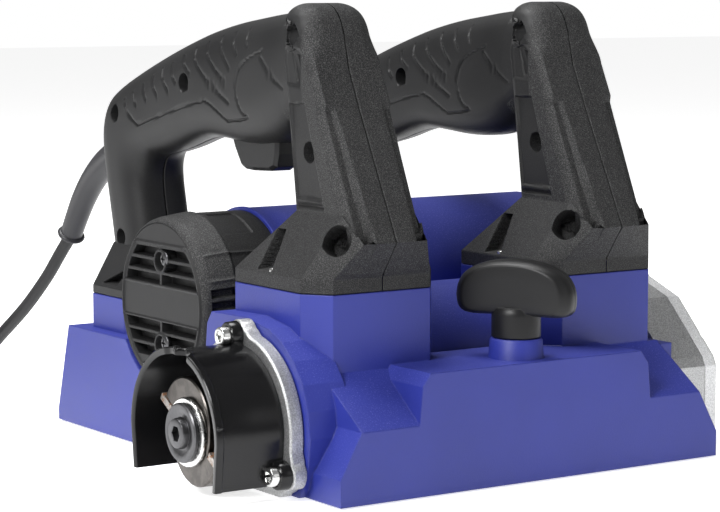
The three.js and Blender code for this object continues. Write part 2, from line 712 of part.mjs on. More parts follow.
function sideCutter() {
  const bore = rodX(cutterShaft + gap, sideCutterLeft - 5, sideCutterRight + 5, cutterY, cutterZ, 24);
  const lobe = (turn) => [
    ...arc(0, 0, 31, turn - 8, turn + 34, 4),
    ...arc(0, 0, 25, turn + 60, turn + 100, 2),
    ...arc(0, 0, 20, turn + 130, turn + 155, 1),
  ];
  const outline = [...lobe(40), ...lobe(220)].map(([y, z]) => [cutterY + y, cutterZ + z]);
  const knifeDepth = 4;
  const knives = [40, 220].map((turn) => {
    const knife = box(sideCutterLeft - 0.5, sideCutterRight + 0.5, 22, cuttingRadius, -knifeDepth, 0);
    return knife.rotate([turn - 9, 0, 0]).translate([0, cutterY, cutterZ]);
  });
  const pocket = (turn) => box(sideCutterLeft - 1, sideCutterRight + 1, 22 - gap, 45,
    -knifeDepth - gap, 14).rotate([turn - 9, 0, 0]).translate([0, cutterY, cutterZ]);
  const head = cut(slab(outline, sideCutterLeft, sideCutterRight), bore, pocket(40), pocket(220));
  piece('side_cutter_head', head, darkSteel);
  piece('side_knife_upper', knives[0], toolSteel);
  piece('side_knife_lower', knives[1], toolSteel);
  const washerX = sideCutterLeft - gap;
  piece('clamp_washer', turned([
    [washerX - 3, boltShank + gap], [washerX - 3, 17.5], [washerX - 2, 18.5], [washerX, 18.5],
    [washerX, boltShank + gap],
  ], cutterY, cutterZ), zincSteel);
  const headX = washerX - 3 - gap;
  const bolt = cut(
    turned([
      [headX - 5.4, 0], [headX - 5.4, 6.6], [headX - 4.6, 7.4], [headX - 2.4, 7.4], [headX - 2.2, 11.5],
      [headX, 12.5], [headX, boltShank], [sideCutterLeft + 18, boltShank], [sideCutterLeft + 18, 0],
    ], cutterY, cutterZ, 24),
    rodX(3.9, headX - 8, headX - 1.5, cutterY, cutterZ, 6),
  );
  piece('cutter_bolt', bolt, darkSteel);
}

// ---- Bearing flange and guard ----

const guardScrewAngles = { top: 86, front: 203, rear: -23 };

function atScrew(angle) {
  const turn = THREE.MathUtils.degToRad(angle);
  return [cutterY + guardScrewCircle * Math.cos(turn), cutterZ + guardScrewCircle * Math.sin(turn)];
}

function flangeAndGuard() {
  const above = (z) => box(-100, 100, -50, 300, z, 300);
  const lugs = Object.values(guardScrewAngles).map((angle) =>
    rodX(8.5, flangeOuterX, flangeInnerX - gap, ...atScrew(angle), 14));
  const pilots = Object.values(guardScrewAngles).map((angle) =>
    rodX(guardScrewShank + gap, flangeOuterX - 2, flangeInnerX - gap - 2, ...atScrew(angle), 10));
  const bearingFloor = flangeInnerX + 2 - gap;
  const flange = cut(
    join(
      rodX(flangeRadius, flangeOuterX, flangeInnerX - gap, cutterY, cutterZ, 32),
      rodX(spigotRadius, flangeInnerX - 2, chamberLeft - 1, cutterY, cutterZ),
      ...lugs,
    ).intersect(above(skirtClearance + 0.2)),
    rodX(cutterBearingRadius + gap, bearingFloor, chamberLeft + 2, cutterY, cutterZ),
    rodX(cutterShaft + play, flangeOuterX - 2, bearingFloor + 1, cutterY, cutterZ, 24),
    ...pilots,
  );
  piece('bearing_flange', flange, castAluminium);

  const backX = flangeOuterX - gap;
  const lipX = guardEndX + 5;
  const arch = (grow, bottom) => [
    [cutterY + guardRadius - 2.5 + grow, bottom],
    ...arc(cutterY, cutterZ, guardRadius + grow, 0, 180, 16),
    [cutterY - guardRadius + 2.5 - grow, bottom],
  ];
  const bottom = guardSkirtBottom;
  const pads = Object.values(guardScrewAngles).map((angle) =>
    rodX(7.6, backX - 6, backX, ...atScrew(angle), 14));
  const guard = cut(
    join(
      slab(arch(0, bottom), lipX - 2, backX),
      slab(arch(guardRim, bottom), guardEndX, lipX),
      ...pads,
    ).intersect(above(bottom * 0.5)),
    slab(arch(-guardWall, -20), guardEndX - 5, backX - 3),
    rodX(20, backX - 10, backX + 5, cutterY, cutterZ),
    rodX(5, guardEndX - 5, guardEndX + 5, cutterY - 6, cutterZ + guardRadius + 1, 12),
    ...Object.values(guardScrewAngles).map((angle) =>
      rodX(guardScrewShank + gap, backX - 10, backX + 5, ...atScrew(angle), 10)),
    ...Object.values(guardScrewAngles).map((angle) =>
      rodX(6.2, backX - 20, backX - 6, ...atScrew(angle), 16)),
  );
  piece('side_guard', guard, glossBlack);
  for (const [place, angle] of Object.entries(guardScrewAngles)) {
    const seat = backX - 6 - gap;
    piece(`guard_screw_${place}`, join(
      rodX(5.2, seat - 4.5, seat, ...atScrew(angle), 12),
      rodX(guardScrewShank, seat - 1, flangeOuterX + 6.5, ...atScrew(angle), 8),
    ), zincSteel);
  }
}

// ---- Motor ----

function motor() {
  const at = [motorY, motorZ];
  const barrelX = capFaceX + 10;
  const spigot = motorBore - gap;
  const bearingX = barrelX + 22;
  const seat = motorBearingRadius + gap;
  const barrelEnd = blackBarrelEnd - gap;
  const barrel = cut(
    join(
      turned([
        [barrelX, 42], [barrelX, motorCaseRadius], [barrelEnd, motorCaseRadius], [barrelEnd, spigot],
        [barrelEnd + 10, spigot], [barrelEnd + 10, spigot - wall], [bearingX + 1, spigot - wall],
        [bearingX + 1, seat + 3.5], [bearingX + 10, seat + 3.5], [bearingX + 10, seat],
        [bearingX - 1, seat], [bearingX - 1, 9], [bearingX - 4, 9], [bearingX - 4, 42],
      ], ...at, 32),
      ...[1, -1].map((way) => rodX(5, barrelX + 1, bearingX - 2, motorY, motorZ + way * capScrewOffset, 10)),
    ),
    ...[1, -1].map((way) => rodX(2.4, barrelX - 1, bearingX - 5, motorY, motorZ + way * capScrewOffset, 10)),
    ...[28, 52, 128, 152, 208, 332].map((angle) => box(bearingX + 8, barrelEnd - 8, 30, 50, -3, 3)
      .rotate([angle, 0, 0]).translate([0, ...at])),
    ...[45, 135, 225, 315].map((angle) => rodX(5, bearingX - 6, bearingX + 3,
      motorY + 27 * Math.cos(THREE.MathUtils.degToRad(angle)),
      motorZ + 27 * Math.sin(THREE.MathUtils.degToRad(angle)), 12)),
  );
  piece('motor_barrel', barrel, blackNylon);

  const faceThickness = 4;
  const slotRows = [13, 20, 27];
  const ribHalf = 4.5;
  const slots = slotRows.flatMap((row) => [1, -1].flatMap((up) => [1, -1].map((side) => {
    const reach = Math.sqrt((capFaceRadius - 6) ** 2 - (row + 2.5) ** 2);
    const y0 = motorY + side * (Math.abs(row - capScrewOffset) < 8 ? ribHalf + 2.5 : ribHalf);
    const y1 = motorY + side * reach;
    const z = motorZ + up * row;
    return box(capFaceX - 2, capFaceX + faceThickness + 2, Math.min(y0, y1), Math.max(y0, y1),
      z - 2.4, z + 2.4);
  })));
  const cap = cut(
    join(
      turned([
        [capFaceX, 0], [capFaceX, capFaceRadius - 1.5], [capFaceX + 1.5, capFaceRadius],
        [barrelX - 4, capFaceRadius + 1], [barrelX - 4, capRimRadius], [barrelX - gap, capRimRadius],
        [barrelX - gap, 38], [capFaceX + faceThickness, 38], [capFaceX + faceThickness, 0],
      ], ...at, 32),
    ),
    ...slots,
    ...[1, -1].map((way) => rodX(2.4, capFaceX - 3, barrelX, motorY, motorZ + way * capScrewOffset, 10)),
    ...[1, -1].map((way) => rodX(4.6, capFaceX - 3, capFaceX + 1.5,
      motorY, motorZ + way * capScrewOffset, 16)),
  );
  piece('motor_end_cap', cap, blackNylon);
  for (const [place, way] of [['upper', 1], ['lower', -1]]) {
    const z = motorZ + way * capScrewOffset;
    piece(`cap_screw_${place}`, join(
      rodX(4.2, capFaceX - 1, capFaceX + 1.5 - gap, motorY, z, 16),
      rodX(2, capFaceX + 1, barrelX + 14, motorY, z, 8),
    ), zincSteel);
  }

  const bearing = (name, x0) => piece(name, turned([
    [x0, motorShaft + gap], [x0, motorBearingRadius], [x0 + motorBearingWidth, motorBearingRadius],
    [x0 + motorBearingWidth, motorShaft + gap],
  ], ...at, 18), zincSteel);
  bearing('motor_bearing_left', bearingX);
  bearing('motor_bearing_right', bodyWidth - 14);
  const statorX = blackBarrelEnd + 30;
  const coreLength = 60;
  const armature = turned([
    [bearingX - 0.5, 0], [bearingX - 0.5, motorShaft], [bearingX + 15, motorShaft], [bearingX + 15, 13],
    [bearingX + 35, 13], [bearingX + 35, motorShaft + 3], [statorX, motorShaft + 3], [statorX, 22],
    [statorX + coreLength, 22], [statorX + coreLength, motorShaft], [shaftRightX, motorShaft],
    [shaftRightX, 0],
  ], ...at, 24);
  piece('armature', armature, darkSteel);
  piece('stator', turned([
    [statorX, 22.8], [statorX, motorBore - gap], [statorX + coreLength, motorBore - gap],
    [statorX + coreLength, 22.8],
  ], ...at, 20), darkSteel);
  const carrierX = bearingX + 20;
  const carrier = cut(
    join(
      rodX(spigot - wall - gap, carrierX - 3, carrierX, ...at, 32),
      ...[1, -1].map((way) => box(carrierX - 1, carrierX + 10, motorY + way * 25 - 10,
        motorY + way * 25 + 10, motorZ - 6, motorZ + 6)),
    ),
    rodX(14, carrierX - 5, carrierX + 12, ...at, 24),
  );
  piece('brush_carrier', carrier, copper);
  const fanX = statorX + coreLength + 12;
  const fan = cut(
    join(
      rodX(motorBore - 6, fanX, fanX + 3, ...at, 32),
      rodX(11, fanX - 2, fanX + 14, ...at, 20),
      ...Array.from({ length: 9 }, (_, i) => box(fanX + 2, fanX + 14, 9, motorBore - 7, -1, 1)
        .rotate([i * 40, 0, 0]).translate([0, ...at])),
    ),
    rodX(motorShaft + gap, fanX - 5, fanX + 20, ...at, 20),
  );
  piece('cooling_fan', fan, blackNylon);
}

const capScrewOffset = 24.5;

// ---- Belt drive ----

function beltOutline(grow) {
  const farY = motorY + 47 + grow;
  return [
    [43 - grow, skirtClearance + 2 - grow], [43 - grow, 45], [46 - grow, 51], [62, 67 + grow],
    [78, 83 + grow], [105, 93 + grow], [150, 129 + grow], [166, 137 + grow], [184, 140 + grow],
    [204, 137 + grow], [222, 126 + grow], [farY - 4, 110], [farY, 92], [farY - 4, 72],
    [216, 44 - grow], [170, 16 - grow], [150, skirtClearance + 2 - grow],
  ];
}

function beltDrive() {
  const caseWall = 3.5;
  const beltCase = cut(
    slab(beltOutline(0), beltCaseX, beltCaseEndX),
    slab(beltOutline(-caseWall), beltCaseX + caseWall, beltCaseEndX + 5),
    rodX(cutterShaft + 2, beltCaseX - 5, beltCaseX + 5, cutterY, cutterZ, 24),
    rodX(motorShaft + 2, beltCaseX - 5, beltCaseX + 5, motorY, motorZ, 24),
  );
  const [screwY, screwZ] = beltScrew;
  const post = rodX(5.5, beltCaseX + 1, beltCaseEndX, screwY, screwZ, 16)
    .intersect(slab(beltOutline(0), beltCaseX, beltCaseEndX));
  const tapped = rodX(2.3, beltCaseEndX - 14, beltCaseEndX + 2, screwY, screwZ, 10);
  piece('belt_case', beltCase.add(post).subtract(tapped), castAluminium);
  const lid = slab(beltOutline(0), beltCoverX - 4, beltCoverEndX, 3.5, 2)
    .intersect(box(beltCoverX, beltCoverEndX + 5, 0, 400, 0, 300));
  const cover = cut(
    lid,
    slab(beltOutline(-caseWall), beltCoverX - 5, beltCoverEndX - caseWall)
      .subtract(rodX(7, beltCoverX - 6, beltCoverEndX, screwY, screwZ, 16)),
    rodX(2.3, beltCoverX - 5, beltCoverEndX + 5, screwY, screwZ, 10),
    rodX(5, beltCoverEndX - 3.5, beltCoverEndX + 5, screwY, screwZ, 16),
  );
  piece('belt_cover', cover, castAluminium);
  const seat = beltCoverEndX - 3.5 + gap;
  piece('belt_cover_screw', join(
    rodX(4.4, seat, seat + 2.6, screwY, screwZ, 16),
    rodX(2, beltCaseEndX - 13, seat + 0.5, screwY, screwZ, 8),
  ), zincSteel);

  const pulley = (name, radius, shaft, at) => piece(name, turned([
    [beltX - 2, shaft + gap], [beltX - 2, radius + 4], [beltX - gap, radius + 4], [beltX - gap, radius],
    [beltX + beltWidth + gap, radius], [beltX + beltWidth + gap, radius + 4],
    [beltX + beltWidth + 2, radius + 4], [beltX + beltWidth + 2, shaft + gap],
  ], ...at, 20), darkSteel);
  pulley('cutter_pulley', cutterPulleyRadius, cutterShaft, [cutterY, cutterZ]);
  pulley('motor_pulley', motorPulleyRadius, motorShaft, [motorY, motorZ]);
  const loop = (grow) => {
    const run = Math.hypot(motorY - cutterY, motorZ - cutterZ);
    const slope = THREE.MathUtils.radToDeg(Math.atan2(motorZ - cutterZ, motorY - cutterY));
    const lean = THREE.MathUtils.radToDeg(Math.asin((cutterPulleyRadius - motorPulleyRadius) / run));
    return [
      ...arc(cutterY, cutterZ, cutterPulleyRadius + grow, slope + 90 + lean, slope + 270 - lean, 14),
      ...arc(motorY, motorZ, motorPulleyRadius + grow, slope - 90 - lean, slope + 90 + lean, 14),
    ];
  };
  const belt = slab(loop(gap + beltThickness), beltX, beltX + beltWidth)
    .subtract(slab(loop(gap), beltX - 2, beltX + beltWidth + 2));
  piece('drive_belt', belt, rubber);
}

const beltScrew = [60.7, 58];

// ---- Power cord ----

function ringAt(at, direction, radius, sides = 12) {
  const axis = new THREE.Vector3(...direction).normalize();
  const side = new THREE.Vector3(1, 0, 0);
  const up = new THREE.Vector3().crossVectors(axis, side);
  return Array.from({ length: sides }, (_, i) => {
    const angle = (2 * Math.PI * i) / sides;
    return new THREE.Vector3(...at)
      .addScaledVector(side, radius * Math.cos(angle))
      .addScaledVector(up, radius * Math.sin(angle))
      .toArray();
  });
}

function taper(from, to, r0, r1) {
  const direction = to.map((value, i) => value - from[i]);
  return hull([...ringAt(from, direction, r0), ...ringAt(to, direction, r1)]);
}

function strainRelief() {
  const rings = reliefRoute.map(([x, y, z, radius], i) => {
    const before = reliefRoute[Math.max(i - 1, 0)];
    const after = reliefRoute[Math.min(i + 1, reliefRoute.length - 1)];
    return ringAt([x, y, z], [0, after[1] - before[1], after[2] - before[2]], radius);
  });
  const [x, y, z] = reliefRoute.at(-1);
  const [, yBefore, zBefore] = reliefRoute.at(-2);
  const run = Math.hypot(y - yBefore, z - zBefore);
  const on = (distance) => [x, y + ((y - yBefore) / run) * distance, z + ((z - zBefore) / run) * distance];
  piece('strain_relief', join(loft(rings), taper(on(-0.5), on(2.8), reliefFlange, reliefFlange)), rubber);
}

function cord() {
  const path = new THREE.CatmullRomCurve3(cordRoute.map((p) => new THREE.Vector3(...p)));
  const section = new THREE.Shape(arc(0, 0, cordRadius, 0, 324, 9).map(([a, b]) => new THREE.Vector2(a, b)));
  piece('cord_run', solid(new THREE.ExtrudeGeometry(section, {
    extrudePath: path, steps: 14, bevelEnabled: false,
  })), rubber);

  const [cx, cy] = coilCentre;
  const innerRadius = coilRadius - coilTurnsPerLayer * coilPitch - cordRadius;
  const outerRadius = coilRadius + cordRadius;
  const height = coilPitch + 2 * cordRadius;
  const profile = [[innerRadius, 0], [outerRadius, 0], [outerRadius, height], [innerRadius, height]];
  const points = [...profile, profile[0]].map(([r, z]) => new THREE.Vector2(r, z));
  const ring = solid(new THREE.LatheGeometry(points, 32).rotateX(Math.PI / 2).translate(cx, cy, 0));
  const inletEnd = cordRoute.at(-1)[1] + 2 * gap;
  const tailEnd = cy - 40;
  const coil = join(
    ring,
    rodY(cordRadius, inletEnd, cy, cx + coilRadius, cordRadius, 10),
    rodY(cordRadius, tailEnd, cy, cx - coilRadius, cordRadius + coilPitch, 10),
  );
  piece('cord_coil', coil, rubber);

  const plugX = cx - coilRadius;
  const bodyEnd = tailEnd - gap - 22;
  const faceY = bodyEnd - plugLength;
  const turnedY = (radii) => solid(new THREE.LatheGeometry(
    radii.map(([y, r]) => new THREE.Vector2(r, y)), 16,
  ).translate(plugX, 0, plugRadius));
  const body = turnedY([
    [faceY, 0], [faceY, plugRadius - 1], [faceY + 1, plugRadius], [faceY + 12, plugRadius],
    [faceY + 18, plugRadius - 2], [bodyEnd - 6, plugRadius - 2], [bodyEnd, plugRadius - 4],
    [tailEnd - gap, 5.4], [tailEnd - gap, 0],
  ]);
  const pins = [-9.5, 9.5].map((dx) => rodY(2.4, faceY - pinLength, faceY + 1, plugX + dx, plugRadius, 10));
  piece('mains_plug', join(body, ...pins), rubber);
}

// ---- Assembly ----

piece('main_housing', mainHousing(), blueNylon);
soles();
handleHalves('left');
handleHalves('right');
trigger();
cutterShaftPieces();
sideCutter();
flangeAndGuard();
motor();
beltDrive();
strainRelief();
cord();

export default model;
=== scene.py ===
"""Two-handled electric timber planer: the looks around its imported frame.

Sizes in the shape functions are millimetres from the machine's own left-front-ground corner, and
`placed` turns them into metres in the frame.
"""
import math

import bmesh
import bpy
import numpy as np
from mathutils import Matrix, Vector


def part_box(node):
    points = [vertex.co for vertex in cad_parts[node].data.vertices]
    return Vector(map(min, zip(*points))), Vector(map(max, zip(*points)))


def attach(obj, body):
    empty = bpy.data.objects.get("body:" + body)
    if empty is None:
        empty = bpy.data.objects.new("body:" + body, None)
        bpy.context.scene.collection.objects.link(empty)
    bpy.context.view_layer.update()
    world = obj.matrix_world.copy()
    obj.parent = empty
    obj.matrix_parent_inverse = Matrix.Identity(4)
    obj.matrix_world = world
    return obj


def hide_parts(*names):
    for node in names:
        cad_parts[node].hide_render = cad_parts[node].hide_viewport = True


bl_info = {
    "name": "Two-handled timber planer",
    "version": (1, 0, 0),
    "blender": (4, 5, 0),
    "location": "View3D > Sidebar > Planer",
    "description": "Builds the planer's shells, fittings, cutter, cord and finishes round its frame",
    "category": "Object",
}

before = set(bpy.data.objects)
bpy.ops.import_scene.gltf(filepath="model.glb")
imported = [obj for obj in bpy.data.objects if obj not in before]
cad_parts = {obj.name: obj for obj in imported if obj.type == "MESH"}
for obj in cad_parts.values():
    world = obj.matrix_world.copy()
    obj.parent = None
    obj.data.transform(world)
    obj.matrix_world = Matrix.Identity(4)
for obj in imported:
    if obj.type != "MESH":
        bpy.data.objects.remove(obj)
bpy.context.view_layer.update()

MM = 0.001
CORNER = np.array([122.65, 157.5665, 0.0])
HANDLES = {"left": 52.0, "right": 208.0}
SCREWS = {
    "front_top": (92.4, 243.7), "front_pillar": (75.8, 180.9), "grip": (213.8, 214.2),
    "rear_top": (300.0, 192.3), "rear_pillar": (292.7, 115.7),
}
CUTTER = (79.0, 34.0)
MOTOR = (187.0, 89.5)
KNOB = (130.0, 21.0)


# ---- Shader maths ----

class Wire:
    """A socket whose Python arithmetic adds Math nodes."""

    def __init__(self, finish, socket):
        self.finish = finish
        self.socket = socket

    def maths(self, operation, *values):
        """A Math node of one operation."""
        return self.finish.node("ShaderNodeMath", {"operation": operation}, dict(enumerate(values)))

    def __add__(self, other):
        return self.maths("ADD", self, other)

    def __sub__(self, other):
        return self.maths("SUBTRACT", self, other)

    def __mul__(self, other):
        return self.maths("MULTIPLY", self, other)

    def __rsub__(self, other):
        return self.maths("SUBTRACT", other, self)

    __radd__ = __add__
    __rmul__ = __mul__

    def ramp(self, low, high):
        """0 below low, 1 above high and smooth between them."""
        return self.finish.node(
            "ShaderNodeMapRange", {"interpolation_type": "SMOOTHSTEP"},
            {"Value": self, "From Min": low, "From Max": high},
        )


class Finish:
    """A material with one Principled shader, and the nodes that feed it."""

    def __init__(self, name, colour, roughness, metallic=0.0, specular=0.5):
        self.material = bpy.data.materials.new(name)
        self.material.use_nodes = True
        self.tree = self.material.node_tree
        self.tree.nodes.clear()
        self.shader = self.tree.nodes.new("ShaderNodeBsdfPrincipled")
        output = self.tree.nodes.new("ShaderNodeOutputMaterial")
        self.tree.links.new(self.shader.outputs[0], output.inputs[0])
        self.set("Base Color", (*colour, 1.0))
        self.set("Roughness", roughness)
        self.set("Metallic", metallic)
        self.set("Specular IOR Level", specular)

    def set(self, key, value):
        """Gives a socket of the shader a constant or a link."""
        socket = self.shader.inputs[key]
        if isinstance(value, Wire):
            self.tree.links.new(value.socket, socket)
        else:
            socket.default_value = value

    def node(self, kind, settings, sockets, output=0):
        """A node of a kind: its settings first, then the values or links of its sockets."""
        made = self.tree.nodes.new(kind)
        for key, value in settings.items():
            setattr(made, key, value)
        for key, value in sockets.items():
            if isinstance(value, Wire):
                self.tree.links.new(value.socket, made.inputs[key])
            else:
                made.inputs[key].default_value = value
        return Wire(self, made.outputs[output])

    def here(self):
        """Object coordinates."""
        return self.node("ShaderNodeTexCoord", {}, {}, "Object")

    def stretched(self, scale):
        """Object coordinates scaled along each axis."""
        return self.node("ShaderNodeMapping", {}, {"Vector": self.here(), "Scale": scale})

    def noise(self, scale, detail=2.0, roughness=0.5, at=None):
        """Noise of so many lumps to the metre."""
        return self.node("ShaderNodeTexNoise", {}, {
            "Vector": at or self.here(), "Scale": scale, "Detail": detail, "Roughness": roughness,
        })

    def painted(self, name):
        """A value kept at the mesh's points."""
        return self.node("ShaderNodeAttribute", {"attribute_name": name}, {}, "Fac")

    def upward(self):
        """How far the surface faces up: 1 on a level top, 0 on a wall."""
        normal = self.node("ShaderNodeNewGeometry", {}, {}, "Normal")
        return self.node("ShaderNodeSeparateXYZ", {}, {0: normal}, 2)

    def mixed(self, share, first, second):
        """The first colour where share is 0, the second where it is 1."""
        colours = [value if isinstance(value, Wire) else (*value, 1.0) for value in (first, second)]
        return self.node("ShaderNodeMix", {"data_type": "RGBA"}, {0: share, 6: colours[0], 7: colours[1]}, 2)

    def rounded(self, radius):
        """A normal that rounds every edge by a radius in metres."""
        return self.node("ShaderNodeBevel", {"samples": 4}, {"Radius": radius})

    def raised(self, height, depth, strength=1.0, under=None):
        """A normal bumped by a height."""
        sockets = {"Height": height, "Distance": depth, "Strength": strength}
        if under is not None:
            sockets["Normal"] = under
        return self.node("ShaderNodeBump", {}, sockets)


FINISHES = {}


def chosen():
    """The scene's settings."""
    return bpy.context.scene.planer


def finish(make):
    """A material that is made once, on its first use."""
    if make not in FINISHES:
        FINISHES[make] = make().material
    return FINISHES[make]


def blue_nylon():
    """Matte blue plastic, with painted highlight specks that lighten its colour where it faces up."""
    made = Finish("blue nylon", (0.055, 0.066, 0.36), 0.46, specular=0.42)
    up = made.upward().ramp(0.15, 0.75)
    grit = made.noise(1500.0, 1.5, 0.6)
    drift = made.noise(14.0, 3.0)
    # Painted highlight: grain specks on up-facing surfaces are lightened towards (0.12, 0.13, 0.42) in the
    # base colour, as glints of the light from above.
    painted_glints = grit.ramp(0.55, 0.72) * up
    base = made.mixed(drift.ramp(0.3, 0.7), chosen().blue_deep, chosen().blue)
    lit = made.mixed(painted_glints * 0.5, base, (0.12, 0.13, 0.42))
    made.set("Base Color", lit)
    made.set("Roughness", up * 0.16 + drift * 0.08 + 0.36)
    made.set("Normal", made.raised(grit, 0.00025, 0.35, made.rounded(0.0011)))
    return made


def grained_black():
    """Black nylon with a spark texture, as coarse as the grain at each point."""
    made = Finish("spark textured black nylon", (0.04, 0.04, 0.042), 0.55, specular=0.28)
    coarse = made.painted("grain")
    grit = made.noise(1900.0, 2.0, 0.65)
    fine = made.noise(3600.0, 1.0)
    flecks = grit.ramp(0.47, 0.66) * coarse
    base = made.mixed(made.noise(20.0, 2.0).ramp(0.3, 0.7), chosen().black_deep, chosen().black)
    made.set("Base Color", made.mixed(flecks * 0.7, base, (0.10, 0.10, 0.10)))
    made.set("Roughness", coarse * 0.14 + 0.44)
    height = grit * coarse + fine * 0.18
    made.set("Normal", made.raised(height, 0.0005, 0.5, made.rounded(0.0006)))
    return made


def plain_black(name, colour, roughness, texture, depth=0.0002):
    """A plain black plastic or rubber, finely textured."""
    def make():
        made = Finish(name, colour, roughness, specular=0.3)
        fine = made.noise(texture, 2.0)
        made.set("Roughness", fine * 0.12 + (roughness - 0.06))
        made.set("Normal", made.raised(fine, depth, 0.25, made.rounded(0.0007)))
        return made
    return make


moulded_black = plain_black("moulded black nylon", (0.012, 0.012, 0.0125), 0.5, 2400.0)
knob_black = plain_black("satin knob black", (0.008, 0.008, 0.0085), 0.38, 3000.0)
guard_black = plain_black("glossy guard black", (0.005, 0.005, 0.0055), 0.2, 500.0, 0.00004)
rubber_black = plain_black("relief rubber", (0.030, 0.030, 0.033), 0.36, 900.0, 0.0001)
cord_black = plain_black("cord sheath", (0.011, 0.011, 0.012), 0.55, 2200.0)


def metal(name, colour, roughness, scale=900.0, depth=0.0002, grain=(1.0, 1.0, 1.0), tint=0.15, edge=0.0004):
    """A metal whose noise dulls its colour, roughens it and bumps it; grain stretches the noise."""
    def make():
        made = Finish(name, colour, roughness, 1.0)
        grit = made.noise(scale, 3.0, 0.6, made.stretched(grain))
        dull = tuple(part * (1 - tint) for part in colour)
        made.set("Base Color", made.mixed(grit.ramp(0.35, 0.65), dull, colour))
        made.set("Roughness", grit * 0.2 + (roughness - 0.1))
        made.set("Normal", made.raised(grit, depth, 0.5, made.rounded(edge)))
        return made
    return make


cast_metal = metal("blasted cast aluminium", (0.58, 0.585, 0.59), 0.5, 1300.0, 0.0006, tint=0.4, edge=0.0009)
milled_metal = metal("milled aluminium", (0.62, 0.63, 0.64), 0.34, 240.0, 0.00006, (1.0, 30.0, 30.0))
zinc = metal("bright zinc", (0.78, 0.78, 0.77), 0.24, 300.0, 0.00003)
washer_steel = metal("bright washer", (0.86, 0.86, 0.85), 0.26, 300.0, 0.00003)
dark_steel = metal("blackened steel", (0.11, 0.11, 0.115), 0.36, 500.0, 0.00008)
iron = metal("bare steel", (0.36, 0.355, 0.35), 0.36, 260.0, 0.0001, tint=0.35)
cutter_steel = metal("darkened cutter steel", (0.13, 0.12, 0.112), 0.34, 160.0, 0.00008, tint=0.4)
brass = metal("plain brass", (0.62, 0.42, 0.18), 0.35, 300.0, 0.00003)


def rusty_steel():
    """Tool steel with rust in patches."""
    made = Finish("edge-worn tool steel", (0.4, 0.38, 0.36), 0.42, 1.0)
    patch = made.noise(420.0, 4.0, 0.65).ramp(0.46, 0.6)
    made.set("Base Color", made.mixed(patch, (0.42, 0.40, 0.38), (0.24, 0.12, 0.06)))
    made.set("Roughness", patch * 0.4 + 0.34)
    made.set("Metallic", 1.0 - patch * 0.8)
    made.set("Normal", made.raised(patch, 0.0002, 0.6, made.rounded(0.0003)))
    return made


def painted_cover():
    """A frosted and sparkling cast cover."""
    made = Finish("frosted cover aluminium", (0.60, 0.605, 0.61), 0.5, 0.35)
    grit = made.noise(1500.0, 2.0, 0.6)
    made.set("Base Color", made.mixed(grit.ramp(0.42, 0.6), (0.60, 0.605, 0.61), (0.84, 0.845, 0.85)))
    made.set("Normal", made.raised(grit, 0.0006, 0.6, made.rounded(0.0012)))
    return made


def pale_floor():
    """A floor that almost meets the white walls."""
    made = Finish("pale floor", (0.8, 0.8, 0.8), 0.9, specular=0.1)
    made.set("Emission Color", (1.0, 1.0, 1.0, 1.0))
    made.set("Emission Strength", 0.72)
    return made


# ---- Meshes ----

def placed(points):
    """Millimetre points from the machine's corner, as metres in the frame."""
    return (np.asarray(points, float) - CORNER) * MM


def grid(rows, closed=False, ends=False):
    """Quads over points [row, column, xyz]; closed joins the last column to the first."""
    rows = np.asarray(rows, float)
    count, across = rows.shape[:2]
    index = np.arange(count * across).reshape(count, across)
    near = index if closed else index[:, :-1]
    far = np.roll(index, -1, axis=1) if closed else index[:, 1:]
    quads = np.stack([near[:-1], far[:-1], far[1:], near[1:]], axis=-1).reshape(-1, 4).tolist()
    if ends:
        quads += [index[0][::-1].tolist(), index[-1].tolist()]
    return rows.reshape(-1, 3), quads


def joined(*parts):
    """Several (points, faces) parts as one."""
    starts = np.cumsum([0] + [len(points) for points, _ in parts[:-1]])
    faces = [[int(start) + corner for corner in face]
             for start, (_, some) in zip(starts, parts) for face in some]
    return np.concatenate([points for points, _ in parts]), faces


def settle(mesh, angle):
    """Merges doubles, turns every face outwards and keeps edges over the angle sharp."""
    work = bmesh.new()
    work.from_mesh(mesh)
    bmesh.ops.remove_doubles(work, verts=work.verts, dist=1e-6)
    bmesh.ops.dissolve_degenerate(work, dist=1e-7, edges=work.edges)
    bmesh.ops.recalc_face_normals(work, faces=work.faces)
    work.to_mesh(mesh)
    work.free()
    mesh.shade_smooth()
    mesh.set_sharp_from_angle(angle=math.radians(angle))


def piece(name, shape, make, body="root", replaces=(), angle=35.0, paint=None, bevel=None):
    """A finished object from millimetre points and faces, riding on a body."""
    points, faces = shape
    mesh = bpy.data.meshes.new(name)
    mesh.from_pydata(placed(points), [], faces)
    settle(mesh, angle)
    if paint is not None:
        layer = mesh.attributes.new("grain", "FLOAT", "POINT")
        where = np.empty(len(mesh.vertices) * 3)
        mesh.vertices.foreach_get("co", where)
        layer.data.foreach_set("value", paint(where.reshape(-1, 3) / MM + CORNER))
    thing = bpy.data.objects.new(name, mesh)
    bpy.context.scene.collection.objects.link(thing)
    mesh.materials.append(finish(make))
    if bevel:
        edge = thing.modifiers.new("edge", "BEVEL")
        edge.width = bevel * MM
        edge.segments = 3
        edge.limit_method = "ANGLE"
        edge.angle_limit = math.radians(30)
        edge.harden_normals = False
    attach(thing, body)
    if replaces:
        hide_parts(*replaces)
    return thing


def smooth(value, low, high):
    """0 below low, 1 above high, with level ends."""
    share = np.clip((value - low) / (high - low), 0.0, 1.0)
    return share * share * (3 - 2 * share)


def along(points, step):
    """Points every step or so along an open line."""
    points = np.asarray(points, float)
    run = np.concatenate([[0], np.cumsum(np.linalg.norm(np.diff(points, axis=0), axis=1))])
    places = np.linspace(0, run[-1], max(2, int(round(run[-1] / step)) + 1))
    return np.stack([np.interp(places, run, points[:, k]) for k in range(points.shape[1])], axis=1)


